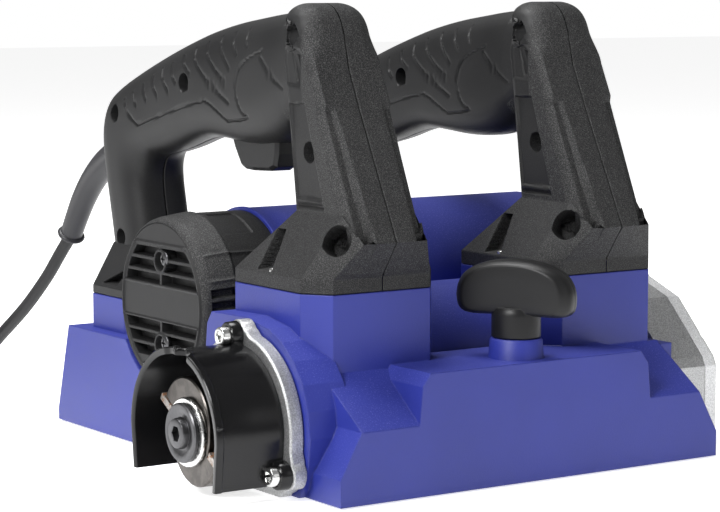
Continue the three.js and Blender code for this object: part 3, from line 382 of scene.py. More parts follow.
def eased(points, rounds=2):
    """Corner cutting: each corner of a line is replaced by points a quarter along its sides."""
    points = np.asarray(points, float)
    for _ in range(rounds):
        near = points[:-1] * 0.75 + points[1:] * 0.25
        far = points[:-1] * 0.25 + points[1:] * 0.75
        between = np.stack([near, far], axis=1).reshape(-1, points.shape[1])
        points = np.concatenate([points[:1], between, points[-1:]])
    return points


def distance(places, line):
    """How far [n, 2] places lie from a line of points."""
    line = np.asarray(line, float)
    best = np.full(len(places), 1e9)
    for start, end in zip(line[:-1], line[1:]):
        run = end - start
        share = np.clip(((places - start) @ run) / (run @ run), 0, 1)
        best = np.minimum(best, np.linalg.norm(places - (start + share[:, None] * run), axis=1))
    return best


def inside(places, outline):
    """Which [n, 2] places lie in a closed outline: an odd number of sides cross to their right."""
    odd = np.zeros(len(places), bool)
    outline = np.asarray(outline, float)
    for (ay, az), (by, bz) in zip(outline, np.roll(outline, -1, axis=0)):
        spans = (az > places[:, 1]) != (bz > places[:, 1])
        if az != bz:
            odd ^= spans & (places[:, 0] < (by - ay) * (places[:, 1] - az) / (bz - az) + ay)
    return odd


def panel(places, outline, margin):
    """1 well inside a closed outline, 0 outside, ramped over the margin."""
    edge = distance(places, np.concatenate([outline, outline[:1]]))
    return np.where(inside(places, outline), smooth(edge, 0, margin), 0.0)


def groove(places, line, half):
    """1 on a line, 0 beyond its half width."""
    return 1 - smooth(distance(places, line), half * 0.35, half)


def lathe(profile, sides, axis="x", centre=(0.0, 0.0, 0.0), closed=True):
    """A profile of [along, radius] points turned about an axis through centre."""
    profile = np.asarray(profile, float)
    angles = np.linspace(0, 2 * np.pi, sides, endpoint=False)
    along_, radius = profile[:, None, 0], profile[:, None, 1]
    level = np.broadcast_to(along_, (len(profile), sides))
    first, second = radius * np.cos(angles), radius * np.sin(angles)
    order = {"x": (level, first, second), "z": (first, second, level), "y": (second, level, first)}[axis]
    return grid(np.stack(order, axis=-1) + np.asarray(centre, float), closed=True, ends=closed)


def tube(path, radius, sides=24, ends=True):
    """Rings of a given radius round a path, turned least from one to the next."""
    path = np.asarray(path, float)
    radius = np.broadcast_to(np.asarray(radius, float), (len(path),))
    ahead = np.gradient(path, axis=0)
    ahead /= np.linalg.norm(ahead, axis=1)[:, None]
    side = np.cross(ahead, (0.0, 0.0, 1.0))
    flat = np.linalg.norm(side, axis=1) < 1e-3
    side[flat] = (1.0, 0.0, 0.0)
    side /= np.linalg.norm(side, axis=1)[:, None]
    up = np.cross(side, ahead)
    turn = np.linspace(0, 2 * np.pi, sides, endpoint=False)
    ring = side[:, None] * np.cos(turn)[None, :, None] + up[:, None] * np.sin(turn)[None, :, None]
    return grid(path[:, None] + ring * radius[:, None, None], closed=True, ends=ends)


def slab(outline, low, high):
    """An outline of [y, z] points as a prism between two levels of x."""
    rows = np.stack([np.insert(np.asarray(outline, float), 0, level, axis=1) for level in (low, high)])
    return grid(rows, closed=True, ends=True)


def rings(layers, turns):
    """Rings round the x axis, each at a level with one radius, or with a radius for every turn."""
    return np.stack([np.stack([np.full(len(turns), x), reach * np.cos(turns), reach * np.sin(turns)], axis=1)
                     for x, reach in layers])


def hexagon(turns, corner):
    """A hexagon's reach at each turn: its corner's reach times cos 30, over cos of the turn off its flat."""
    return corner * np.cos(np.pi / 6) / np.cos(np.mod(turns, np.pi / 3) - np.pi / 6)


# ---- Handles ----

PILLAR_HALF = 24.0
DOME_ROUND = 15.0
FOOT_HOLE = ((27.7, 40.4, 135.9), (0.834, -0.465, 0.295), 8.7, 12.0)
PILLAR_FRONT = [(39, 116), (24, 134.8), (31.8, 150), (59.5, 204), (70, 226)]
PILLAR_REAR = [(84, 112), (88.5, 135), (90.5, 150), (94.5, 180), (98, 204), (101, 226)]
PILLAR_DOME = [(70, 226), (72.5, 236), (75.5, 246), (79.5, 254), (85, 259.3), (92, 261.4), (99, 261.6),
               (104.6, 259.4), (107, 253.5), (105.5, 240), (101, 226)]
SIDE_PANEL = [(94, 207), (78, 207.5), (58.5, 150.5), (87.5, 150.5)]
UPPER_PANEL = [(91.5, 235), (83.2, 234), (82.6, 218.5), (87, 218.5)]
REAR_STRIP = [(99.5, 240), (81, 236), (82.2, 216.2), (101.5, 217.6)]
BOW = [
    ((86, 257), (88, 206)), ((104, 257), (101, 199)), ((126, 255.5), (119, 185.5)),
    ((146, 253), (136, 181)), ((170, 250), (160, 180)), ((196, 245), (184, 182)),
    ((216, 239.7), (202, 183)), ((236, 234), (220, 179.5)), ((256, 227.7), (240, 173.5)),
    ((280, 219.5), (258, 169.6)), ((306, 209.5), (268, 168)), ((321, 201), (273.5, 164)),
    ((328, 185), (276.5, 156)), ((325, 164), (276, 147)), ((319, 140), (273.5, 136)),
    ((313, 116), (269, 116)), ((309, 98), (267, 98)),
]
GRIP_HALF = 21.5
GRIP_GROOVES = [
    [(287.2, 201.8), (284.6, 194.6), (278, 190), (271.0, 186.6)],
    [(276.6, 206.1), (274.8, 201.6), (272.1, 198.4)], [(264.3, 211.2), (263.0, 206.0), (259.1, 201.6)],
    [(253.4, 216.8), (251.7, 210.3), (245.6, 205.3)], [(241.6, 221.7), (239.7, 214.6), (232.4, 208.4)],
    [(229.8, 225.2), (227.9, 217.6), (223.5, 213.7)], [(216.6, 230.0), (214.9, 224.4), (207.3, 220.1)],
    [(203.3, 234.2), (202.2, 226.6), (186.1, 215.8), (163.0, 204.2)],
    [(190.2, 238.2), (188.4, 230.7), (176.2, 221.7), (164.6, 215.3)],
    [(175.9, 241.6), (173.6, 234.8), (161.6, 223.4)], [(161.4, 244.3), (160.2, 238.2), (154.8, 231.6)],
    [(146.4, 247.0), (147.1, 242.8), (143.7, 236.7)],
]
GRIP_MOTIFS = [
    [(126.7, 235.0), (142.5, 230.1), (152.1, 223.7), (155.7, 213.7), (153.4, 205.2), (149.5, 198.9),
     (142.4, 197.1), (148, 195.2), (166.8, 193.5)],
    [(271.0, 186.6), (192.4, 205.5), (181.3, 201.5), (166.8, 193.5)],
    [(128.6, 231.4), (117.2, 221.1), (104.8, 214.3)],
]


def rimmed(places, holes, radius, reach=0.62):
    """Places near a round hole's edge, moved onto it, so that the edge is round."""
    for hole in holes:
        off = places - hole
        away = np.maximum(np.linalg.norm(off, axis=1), 1e-6)
        near = np.abs(away - radius) < reach
        places = np.where(near[:, None], hole + off * (radius / away)[:, None], places)
    return places


def bored(places, holes, radius):
    """1 inside any round hole of a radius, 0 on its edge and beyond."""
    depth = np.zeros(len(places))
    for hole in holes:
        depth = np.maximum(depth, np.hypot(*(places - hole).T) < radius - 0.3)
    return depth


def drilled(points, centre, axis, radius, depth):
    """Points within a radius of an axis, pushed down it to a flat bottom."""
    axis = np.asarray(axis, float) / np.linalg.norm(axis)
    off = points - centre
    level = off @ axis
    away = np.linalg.norm(off - level[..., None] * axis, axis=-1)
    flat = off - level[..., None] * axis
    near = (np.abs(away - radius) < 0.55) & (np.abs(level) < depth)
    stretch = (radius / np.maximum(away, 1e-6) - 1)[..., None]
    points = np.where(near[..., None], points + flat * stretch, points)
    push = np.where((away < radius - 0.3) & ~near, np.maximum(level + depth, 0), 0)
    return points - push[..., None] * axis


def pillar_half():
    """Half of the front pillar in (out, y, z), with out measured from the handle's middle plane.

    Rows follow the side outline up the front, over the dome and down the rear. Columns run from the
    parting line across the front, over the chamfer and along the side to a line half way to the rear.
    """
    levels = np.unique(np.concatenate([np.arange(116.6, 226.1, 1.0), [134.8, 150, 204, 226]]))
    front_z, front_y = np.array(PILLAR_FRONT).T[::-1]
    rear_z, rear_y = np.array(PILLAR_REAR).T[::-1]
    ahead = np.stack([np.interp(levels, front_z, front_y), levels], axis=1)
    behind = np.stack([np.interp(levels, rear_z, rear_y), levels], axis=1)
    dome = along(eased(PILLAR_DOME, 3), 1.0)[1:-1]
    outline = np.concatenate([ahead, dome, behind[::-1]])
    middle = np.concatenate([
        (ahead + behind) / 2, np.broadcast_to((89.0, 236.0), dome.shape), ((ahead + behind) / 2)[::-1],
    ])
    run = np.gradient(outline, axis=0)
    run /= np.linalg.norm(run, axis=1)[:, None]
    inward = np.stack([run[:, 1], -run[:, 0]], axis=1)
    is_front = np.arange(len(outline)) < len(ahead)
    lower = np.where(is_front, np.clip((204 - outline[:, 1]) / 69.0, 0, 1), 0)

    across = np.concatenate([[0.3, 0.3, 0.75], np.arange(1.75, 21, 1.0), [21, 21.8, 22.9, 23.6, 24.0]])
    inset = np.concatenate([[2.0, 0.55, 0.0], np.zeros(20), [0, 0.8, 2.6, 4.2, 5.5]])
    ridge = 15.2 - 2.2 * lower
    below_dome = is_front & (outline[:, 1] < 207)
    sink = np.where(below_dome, 2.2 + 4.0 * lower, 0) * smooth(208 - outline[:, 1], 0, 4)
    flank = sink[:, None] * smooth(across[None, :], ridge[:, None], ridge[:, None] + 2.6)
    beyond = np.clip(across - PILLAR_HALF + DOME_ROUND, 0, None)
    round_off = DOME_ROUND - np.sqrt(DOME_ROUND ** 2 - beyond ** 2)
    share = smooth(outline[:, 1], 226, 247)[:, None]
    depth = inset[None, :] * (1 - share) + round_off[None, :] * share + flank
    depth += 3.0 * lower[:, None] * smooth(across[None, :], 20, 24)
    band = outline[:, None] + inward[:, None] * depth[..., None]
    shares = np.linspace(0, 1, 26)[1:]
    side = band[:, -1:, :] + (middle - band[:, -1])[:, None, :] * shares[None, :, None]
    flat = np.concatenate([band, side], axis=1)
    out = np.broadcast_to(np.concatenate([across, np.full(len(shares), PILLAR_HALF)]), flat.shape[:2]).copy()

    places = flat.reshape(-1, 2)
    on_side = out.reshape(-1) > 23.5
    holes = [SCREWS["front_top"], SCREWS["front_pillar"]]
    places = np.where((out.reshape(-1) > 14)[:, None], rimmed(places, holes, 6.0), places)
    flat = places.reshape(flat.shape)
    sunk = np.maximum(panel(places, np.array(SIDE_PANEL), 0.9) * 1.8,
                      panel(places, np.array(REAR_STRIP), 0.9) * 1.0)
    sunk = sunk + panel(places, np.array(UPPER_PANEL), 0.8) * 1.0
    ledge = groove(places, [(88.4, 154.4), (60.2, 154.4)], 2.0) * 1.5
    bore = bored(places, holes, 6.0)
    boss = bored(places, [SCREWS["front_top"]], 8.6)
    sunk = np.where(boss > 0, 0.0, sunk) - ledge
    out -= np.maximum(sunk, 0).reshape(out.shape) * on_side.reshape(out.shape)
    out = np.minimum(out, PILLAR_HALF - 13.0 * bore.reshape(out.shape))
    return drilled(np.concatenate([out[..., None], flat], axis=2), *FOOT_HOLE)


def bow_half():
    """Half of the grip and the rear pillar in (out, y, z).

    Stations run from the front pillar's dome back and down to the rear foot. Each is a closed curve
    |across / half|^p + |height / half|^p = 1 between an outer and an inner point, from the parting line
    at the top, over the side, to the parting line below.
    """
    ends = np.array(BOW, float).reshape(len(BOW), 4)
    ends = along(eased(ends, 2), 1.5)
    outer, inner = ends[:, :2], ends[:, 2:]
    centre, reach = (outer + inner) / 2, (outer - inner) / 2
    power = 2 / 2.9
    turn = np.linspace(np.pi / 2, -np.pi / 2, 110)[1:-1]
    wide = GRIP_HALF * np.abs(np.cos(turn)) ** power
    tall = np.sign(np.sin(turn)) * np.abs(np.sin(turn)) ** power
    wide = np.concatenate([[0.3, 0.3, 0.75], wide, [0.75, 0.3, 0.3]])
    tall = np.concatenate([[0.94, 0.985, 1.0], tall, [-1.0, -0.985, -0.94]])
    flat = centre[:, None] + reach[:, None] * tall[None, :, None]
    out = np.broadcast_to(wide, flat.shape[:2]).copy()
    places = flat.reshape(-1, 2)
    holes = [SCREWS["grip"], SCREWS["rear_top"], SCREWS["rear_pillar"]]
    places = np.where((out.reshape(-1) > 8)[:, None], rimmed(places, holes, 5.7, 0.8), places)
    flat = places.reshape(flat.shape)
    weight = smooth(out.reshape(-1), 13.0, 19.0)
    lines = np.max([groove(places, eased(line, 2), 0.95) for line in GRIP_GROOVES], axis=0) * 0.9
    motifs = np.max([groove(places, eased(line, 1), 0.8) for line in GRIP_MOTIFS], axis=0) * 0.9
    bore = bored(places, holes, 5.7)
    level = out.reshape(-1)
    sunk = np.maximum(lines * weight, motifs * smooth(level, 17, 20))
    out = np.where(bore > 0, level - bore * 12.0 * (level > 8), level - sunk)
    return np.concatenate([out.reshape(flat.shape[:2])[..., None], flat], axis=2)


def foot_half(plan, top, floor, rim, marks):
    """Half of a foot in (out, y, z): rows rise from the plan's floor over its rim to the top ring.

    plan and top hold matching corners from the front's middle round the side to the rear's middle.
    marks sink parts of the slopes.
    """
    plan, top = np.array(plan, float), np.array(top, float)
    corners = len(plan)
    counts = [int(length) + 2 for length in np.linalg.norm(np.diff(plan, axis=0), axis=1)]
    shares = np.concatenate([np.linspace(k, k + 1, count)[:-1] for k, count in enumerate(counts)]
                            + [[corners - 1]])

    def around(line):
        return np.stack([np.interp(shares, np.arange(corners), column) for column in line.T], axis=1)

    low, high = around(plan), around(top)
    base = np.concatenate([low, np.full((len(low), 1), rim)], axis=1)
    centre = np.array([[0.0, plan[:, 1].mean()]])
    rows = [np.concatenate([low - (low - centre) * 0.02, np.full((len(low), 1), floor)], axis=1)]
    rows += [np.concatenate([low, np.full((len(low), 1), level)], axis=1)
             for level in (floor + 0.5, rim - 1.0)]
    rise = np.linspace(0, 1, 46)
    rows += list(base[None] + (high - base)[None] * rise[:, None, None])
    shape = np.stack(rows)
    return marks(shape)


def across_middle(shape, half, x):
    """A half in (out, y, z) as millimetre points on one side of the handle's middle plane x."""
    points = shape.copy()
    points[..., 0] = x + half * shape[..., 0]
    return points


def front_foot_marks(shape):
    """Sinks the deep bolt hole and the slanting screw slot into a front foot's slopes."""
    slope = shape[4:]
    middle = slope[..., 1:].reshape(-1, 2)
    slot = panel(middle, np.array([(97.5, 116.4), (83.5, 116.4), (88.0, 138.5), (96.0, 138.5)]), 0.7)
    slope[..., 0] -= slot.reshape(slope.shape[:2]) * 8.5 * (slope[..., 0] > 20)
    return drilled(shape, *FOOT_HOLE)


def rear_foot_marks(shape):
    """Sinks the three-cornered screw recess into a rear foot's slope."""
    slope = shape[4:]
    middle = slope[..., 1:].reshape(-1, 2)
    recess = panel(middle, np.array([(281.0, 90.0), (262.5, 90.0), (261.5, 101.5)]), 0.9)
    slope[..., 0] -= recess.reshape(slope.shape[:2]) * 8.0 * (slope[..., 0] > 18)
    return shape


FRONT_PLAN = [(0.3, 38), (31.7, 38), (42.9, 52.9), (42.9, 120), (34, 128.9), (0.3, 128.9)]
FRONT_TOP = [(0.3, 24.6, 134.6), (20.5, 25.2, 134.8), (23.6, 42, 149), (23.6, 86, 149), (16, 93, 149),
             (0.3, 93, 149)]
REAR_PLAN = [(0.3, 239.1), (34.7, 239.1), (42.9, 250), (42.9, 289.4), (36.4, 295.9), (0.3, 295.9)]
REAR_TOP = [(0.3, 268, 112), (12, 268, 112), (20.8, 276, 112), (20.8, 303, 112), (12, 310.8, 112),
            (0.3, 310.8, 112)]


def handle_shell(x, half):
    """One clamshell half of a handle: its front pillar, its grip and rear pillar, and its two feet."""
    parts = [
        pillar_half(), bow_half(),
        foot_half(FRONT_PLAN, FRONT_TOP, 107.2, 115.2, front_foot_marks),
        foot_half(REAR_PLAN, REAR_TOP, 83.2, 88.2, rear_foot_marks),
    ]
    return joined(*[grid(across_middle(part, half, x)) for part in parts])


def handle_grain(points):
    """Coarse on the front pillar and the feet, nearly plain on the grip and in the side panels."""
    out = np.minimum(np.abs(points[:, 0] - HANDLES["left"]), np.abs(points[:, 0] - HANDLES["right"]))
    front = np.where(points[:, 1] < 109, 1.0, 0.12)
    places = points[:, 1:]
    panels = np.maximum(panel(places, np.array(SIDE_PANEL), 0.6), panel(places, np.array(REAR_STRIP), 0.6))
    behind = smooth(places[:, 0] - np.interp(places[:, 1], [150, 204, 240], [59, 79, 82]), 0, 1.5)
    plain = np.maximum(panels, behind * (places[:, 1] > 150)) * (out > 18)
    foot = (places[:, 1] < 149) & (places[:, 0] < 130) & (places[:, 0] > 36)
    return np.where(foot, 0.7, front * (1 - 0.85 * plain))


# ---- Screws ----

def cross_head(centre, radius, height, axis, recess=0.55):
    """A domed pan head along an axis, its face sunk where a cross of two narrow bars lies."""
    turns = np.linspace(0, 2 * np.pi, 96, endpoint=False)
    out = np.concatenate([[1.0], np.linspace(1, 0.02, 34)])
    first = radius * out[:, None] * np.cos(turns)
    second = radius * out[:, None] * np.sin(turns)
    dome = np.repeat(height * (0.45 + 0.55 * np.sqrt(1 - out ** 2.4))[:, None], len(turns), axis=1)
    dome[0] = 0
    near = np.minimum(np.abs(first), np.abs(second))
    arm = (near < radius * 0.13) & (np.hypot(first, second) < radius * recess)
    dome -= arm * height * 0.55
    order = {"x": (-dome, first, second), "z": (first, second, dome)}[axis]
    return grid(np.stack(order, axis=-1) + np.asarray(centre, float), closed=True, ends=True)


def socket_head(centre, radius, height, socket, depth, sides=48):
    """A cylinder head towards -X with a rounded rim and a hexagonal socket."""
    turns = np.linspace(0, 2 * np.pi, sides, endpoint=False)
    flat = hexagon(turns, socket)
    layers = [(0, radius), (-height + 0.8, radius), (-height + 0.25, radius - 0.25), (-height, radius - 0.9),
              (-height, flat + 0.35), (-height + 0.35, flat), (-height + depth, flat)]
    return grid(rings(layers, turns) + np.asarray(centre, float), closed=True, ends=True)


# ---- Cord ----

CORD_RADIUS = 4.2
CORD_ROUTE = [
    (52, 402.4, 105.5), (52, 417.5, 92.5), (52, 438.7, 74), (52, 471.2, 50.5),
    (52, 511.4, 26), (52, 534, 11.5), (52, 550, 5.2), (52, 563, 4.3),
]
RELIEF = [
    (52, 319, 170.5, 8.2), (52, 334, 165.5, 8.2), (52, 352, 157, 8), (52, 368, 146, 7.6),
    (52, 382, 132.5, 7.2), (52, 393, 118.5, 6.8), (52, 400, 108.5, 6.6),
]
COIL = (-18.0, 602.0)
COIL_RADIUS = 70.0
COIL_PITCH = 8.6
COIL_TURNS = 2.625
CLIMB_TURNS = 0.25
CORD_STEP = 4.5
TIE_POWER = 0.28
TIE_POINTS = 64
PLUG_FACE = 503.7
PLUG_LEVEL = 12.8


def curve_through(points, steps=12):
    """A smooth curve through points: each stretch is the cubic of its four nearest points."""
    points = np.asarray(points, float)
    padded = np.concatenate([2 * points[:1] - points[1:2], points, 2 * points[-1:] - points[-2:-1]])
    share = np.linspace(0, 1, steps, endpoint=False)[:, None, None]
    a, b, c, d = padded[:-3], padded[1:-2], padded[2:-1], padded[3:]
    rows = 0.5 * (2 * b + (c - a) * share + (2 * a - 5 * b + 4 * c - d) * share ** 2
                  + (3 * b - a - 3 * c + d) * share ** 3)
    return np.concatenate([rows.transpose(1, 0, 2).reshape(-1, points.shape[1]), points[-1:]])


def cord_path(cord_radius):
    """The cord's middle line: down from its boot, along the ground, in and up and out in its coil."""
    run = curve_through(CORD_ROUTE)
    turns = np.linspace(0, 2 * COIL_TURNS + CLIMB_TURNS, 330)
    inner = COIL_RADIUS - COIL_TURNS * COIL_PITCH
    radius = np.maximum(COIL_RADIUS - turns * COIL_PITCH, inner)
    out = turns - COIL_TURNS - CLIMB_TURNS
    radius = np.where(out > 0, inner + out * COIL_PITCH, radius)
    height = cord_radius + COIL_PITCH * smooth(turns, COIL_TURNS - 0.05, COIL_TURNS + CLIMB_TURNS + 0.05)
    angle = turns * 2 * np.pi
    coil = np.stack([COIL[0] + radius * np.cos(angle), COIL[1] + radius * np.sin(angle), height], axis=1)
    tail = [(coil[-1, 0], y, coil[-1, 2]) for y in (590.0, 576.0, 561.0)]
    return along(np.concatenate([run, coil, tail]), CORD_STEP)


def relief_shape():
    """A bent cone round the cord, with a collar at its end."""
    route = curve_through(RELIEF, 10)
    last, before = route[-1, :3], route[-4, :3]
    ahead = (last - before) / np.linalg.norm(last - before)
    collar = [last + ahead * step for step in (0.1, 0.5, 1.6, 2.5, 2.8)]
    path = np.concatenate([route[:, :3], collar])
    radius = np.concatenate([route[:, 3] + 0.7, [7.6, 8.6, 9.2, 8.8, 5.2]])
    return tube(path, radius, 28)


def tie_shape(cord_radius):
    """A strap round the coil: a flat band on a rounded rectangle about the turns."""
    inner = COIL_RADIUS - COIL_TURNS * COIL_PITCH - cord_radius
    outer = COIL_RADIUS + cord_radius
    top = COIL_PITCH + 2 * cord_radius
    turn = np.linspace(0, 2 * np.pi, TIE_POINTS, endpoint=False)
    half_x, half_z = (outer - inner) / 2, top / 2
    rows = []
    for y, grow in ((-6, -0.45), (-6, 0.05), (6, 0.05), (6, -0.45)):
        first = np.sign(np.cos(turn)) * np.abs(np.cos(turn)) ** TIE_POWER * (half_x + grow)
        second = np.sign(np.sin(turn)) * np.abs(np.sin(turn)) ** TIE_POWER * (half_z + grow)
        rows.append(np.stack([COIL[0] - (outer + inner) / 2 + first, np.full(TIE_POINTS, COIL[1] + y),
                              half_z + second], axis=1))
    rows.append(rows[0])
    return grid(np.stack(rows), closed=True)


def plug_shape():
    """A turned plug body with grip rings: its profile about a line along y."""
    x, z, face = COIL[0] - COIL_RADIUS, PLUG_LEVEL, PLUG_FACE
    profile = [(face, 0.1), (face, 11.0), (face + 0.8, 12.4), (face + 2.0, 12.7), (face + 11, 12.7),
               (face + 12.5, 12.2)]
    profile += [(face + 14 + 2.6 * k + dy, 11.0 - 0.25 * k - cut) for k in range(6)
                for dy, cut in ((0, 0), (1.5, 0), (1.8, 0.8), (2.3, 0.8))]
    profile += [(face + 32, 9.2), (face + 38, 7.2)]
    profile += [(face + 41 + 2.6 * k + dy, 6.4 - 0.15 * k - cut) for k in range(5)
                for dy, cut in ((0, 0), (1.5, 0), (1.8, 0.7), (2.3, 0.7))]
    profile += [(face + 57, 5.3), (face + 58, 4.5)]
    return lathe(profile, 48, "y", (x, 0, z))


def pin_shapes():
    """Two round pins, each sleeved for its inner half."""
    x, z, face = COIL[0] - COIL_RADIUS, PLUG_LEVEL, PLUG_FACE
    profile = [(face + 1, 2.3), (face - 9, 2.3), (face - 9.2, 2.4), (face - 18, 2.4), (face - 19, 1.6)]
    return joined(*[lathe(profile, 24, "y", (x + dx, 0, z)) for dx in (-9.5, 9.5)])


# ---- Body skins ----

def barrel_skin():
    """The motor's blue cover: a cylinder's upper part with a raised lip at its left end."""
    x = np.concatenate([[54.9, 54.9, 55.5], np.linspace(57, 259.7, 70)])
    angle = np.radians(np.linspace(-22, 205, 150))
    lip = np.interp(np.arange(len(x)), [0, 1, 2, 3], [49.5, 51.6, 52.0, 52.0])
    radius = np.where(x > 58.5, 51.25, lip)[:, None]
    y, z = MOTOR[0] + radius * np.cos(angle), MOTOR[1] + radius * np.sin(angle)
    return grid(np.stack(np.broadcast_arrays(x[:, None], y, z), axis=-1))


def arch_skin():
    """The cover over the drum between the front towers: an arc that runs level back to the motor."""
    y0, z0, radius = 103.0, 60.0, 40.6
    angle = np.radians(np.linspace(180, 60, 60))
    outline = np.stack([y0 + radius * np.cos(angle), z0 + radius * np.sin(angle)], axis=1)
    outline = np.concatenate([outline, [(180.0, 94.6)]])
    x = np.linspace(HANDLES["left"] + 20, HANDLES["right"] - 20, 60)
    rows = np.concatenate([np.broadcast_to(x[:, None, None], (60, len(outline), 1)),
                           np.broadcast_to(outline, (60, len(outline), 2))], axis=2)
    return grid(rows)


def collar_skin():
    """The boss under the knob: a cone that spreads at its foot."""
    profile = [(56.0, 19.0), (58.4, 16.6), (61.5, 15.9), (76.8, 14.6), (78.0, 13.8), (78.15, 12.0)]
    return lathe(profile, 96, "z", (*KNOB, 0), closed=False)


KNOB_TURNED = -61.0
WING_FOOT = 90.0
WING_POINTS = 120


def knob_shape():
    """A winged knob: an arched outline drawn in towards its two oval faces, on a round stem."""
    outline = np.array([(-29, 0.2), (-12, 0.6), (12, 0.6), (29, 0.2), (34.0, 3), (35, 10), (34, 17.5),
                        (28.5, 25.5), (15, 30.6), (0, 31.8), (-15, 30.6), (-28.5, 25.5), (-34, 18),
                        (-35, 11), (-34.2, 4)])
    loop = np.concatenate([outline, outline[:1]])
    loop = along(eased(np.concatenate([loop[-3:-1], loop, loop[1:3]]), 3), 0.9)
    centre = np.array([0.0, 14.5])
    angle = np.arctan2(loop[:, 1] - centre[1], loop[:, 0] - centre[0])
    turns = np.linspace(-np.pi, np.pi, WING_POINTS, endpoint=False)
    order = np.argsort(angle)
    reach = np.interp(turns, angle[order], np.hypot(*(loop - centre).T)[order], period=2 * np.pi)
    layers = [(9.9, 0.02), (9.9, 0.4), (9.85, 0.80), (9.6, 0.845), (9.0, 0.875), (6.6, 0.945), (5.6, 0.968),
              (4.4, 0.985), (0.9, 1.0), (0.25, 0.995)]
    layers += [(-y, share) for y, share in layers[::-1]]
    rows = [np.stack([KNOB[0] + share * reach * np.cos(turns), np.full(WING_POINTS, KNOB[1] + y),
                      WING_FOOT + centre[1] + share * reach * np.sin(turns)], axis=1) for y, share in layers]
    shape = np.stack(rows)
    turn = math.radians(KNOB_TURNED)
    across, ahead = shape[..., 0] - KNOB[0], shape[..., 1] - KNOB[1]
    shape[..., 0] = KNOB[0] + across * math.cos(turn) - ahead * math.sin(turn)
    shape[..., 1] = KNOB[1] + across * math.sin(turn) + ahead * math.cos(turn)
    stem = lathe([(78.4, 0.1), (78.4, 13.1), (79.0, 13.7), (90.5, 13.7), (93, 13.4), (95, 12.0)], 64, "z",
                 (*KNOB, 0))
    return joined(grid(shape, closed=True, ends=True), stem)


# ---- Side cutter, flange and guard ----

GUARD_SCREWS = {"top": 86.0, "front": 203.0, "rear": -23.0}
SCREW_CIRCLE = 49.5
FLANGE_RADIUS = 50.5
LUG_RADIUS = 8.5
LUG_SPREAD = 9.1
FLANGE_GAP = 1.3
FLANGE_LAYERS = ((-4.4, 0.3), (-4.4, 0.985), (-4.9, 1.0), (-12.0, 1.0), (-12.9, 0.982), (-13.0, 0.95),
                 (-13.0, 0.3))
GUARD_FOOT = 9.0
GUARD_BACK = -13.4
GUARD_END = -55.0
GUARD_PROFILE = (
    (None, -13.4, 45.0), (None, -30.0, 45.0), (None, -49.0, 45.0), (None, -50.3, 45.25), (None, -51.0, 46.3),
    ("edge", 0.6, 46.5), ("edge", 0.0, 46.0), ("edge", 0.0, 43.4), ("edge", 0.5, 42.6), (None, -45.0, 42.5),
    (None, -16.4, 42.5), (None, -16.4, 20.5),
)
PAD_PROFILE = ((-13.4, 7.9), (-18.6, 7.6), (-19.3, 7.0), (-19.4, 5.6), (-13.6, 5.4))
NUB_PROFILE = ((-51.0, 0.1), (-51.3, 1.0), (-54.4, 1.1), (-54.8, 0.1))
NUB_ANGLES = (47, 92, 168)
NUB_CIRCLE = 46.6
TIP_ANGLE = 31.0
TIP_RADIUS = 31.0


def at_screw(angle, circle=SCREW_CIRCLE):
    """A place at an angle on a circle round the cutter's axis."""
    turn = math.radians(angle)
    return CUTTER[0] + circle * math.cos(turn), CUTTER[1] + circle * math.sin(turn)


def flange_shape():
    """A plate whose edge is a circle swollen smoothly out to its three screw lugs."""
    turns = np.radians(np.linspace(0, 360, 240, endpoint=False))
    reach = np.full(len(turns), FLANGE_RADIUS)
    for angle in GUARD_SCREWS.values():
        off = np.degrees(np.abs((turns - math.radians(angle) + np.pi) % (2 * np.pi) - np.pi))
        lug = SCREW_CIRCLE + np.sqrt(np.clip(LUG_RADIUS ** 2 - (off * 0.93) ** 2, 0, None))
        reach = np.maximum(reach, np.where(off < LUG_SPREAD, lug, 0))
        reach = np.maximum(reach, FLANGE_RADIUS + 3.0 * (1 - smooth(off, 8, 16)) * (off >= 6))
    y, z = CUTTER[0] + reach * np.cos(turns), CUTTER[1] + reach * np.sin(turns)
    z = np.maximum(z, FLANGE_GAP)
    rows = [np.stack([np.full(len(turns), x), CUTTER[0] + (y - CUTTER[0]) * share,
                      np.maximum(CUTTER[1] + (z - CUTTER[1]) * share, FLANGE_GAP)], axis=1)
            for x, share in FLANGE_LAYERS]
    return grid(np.stack(rows), closed=True)


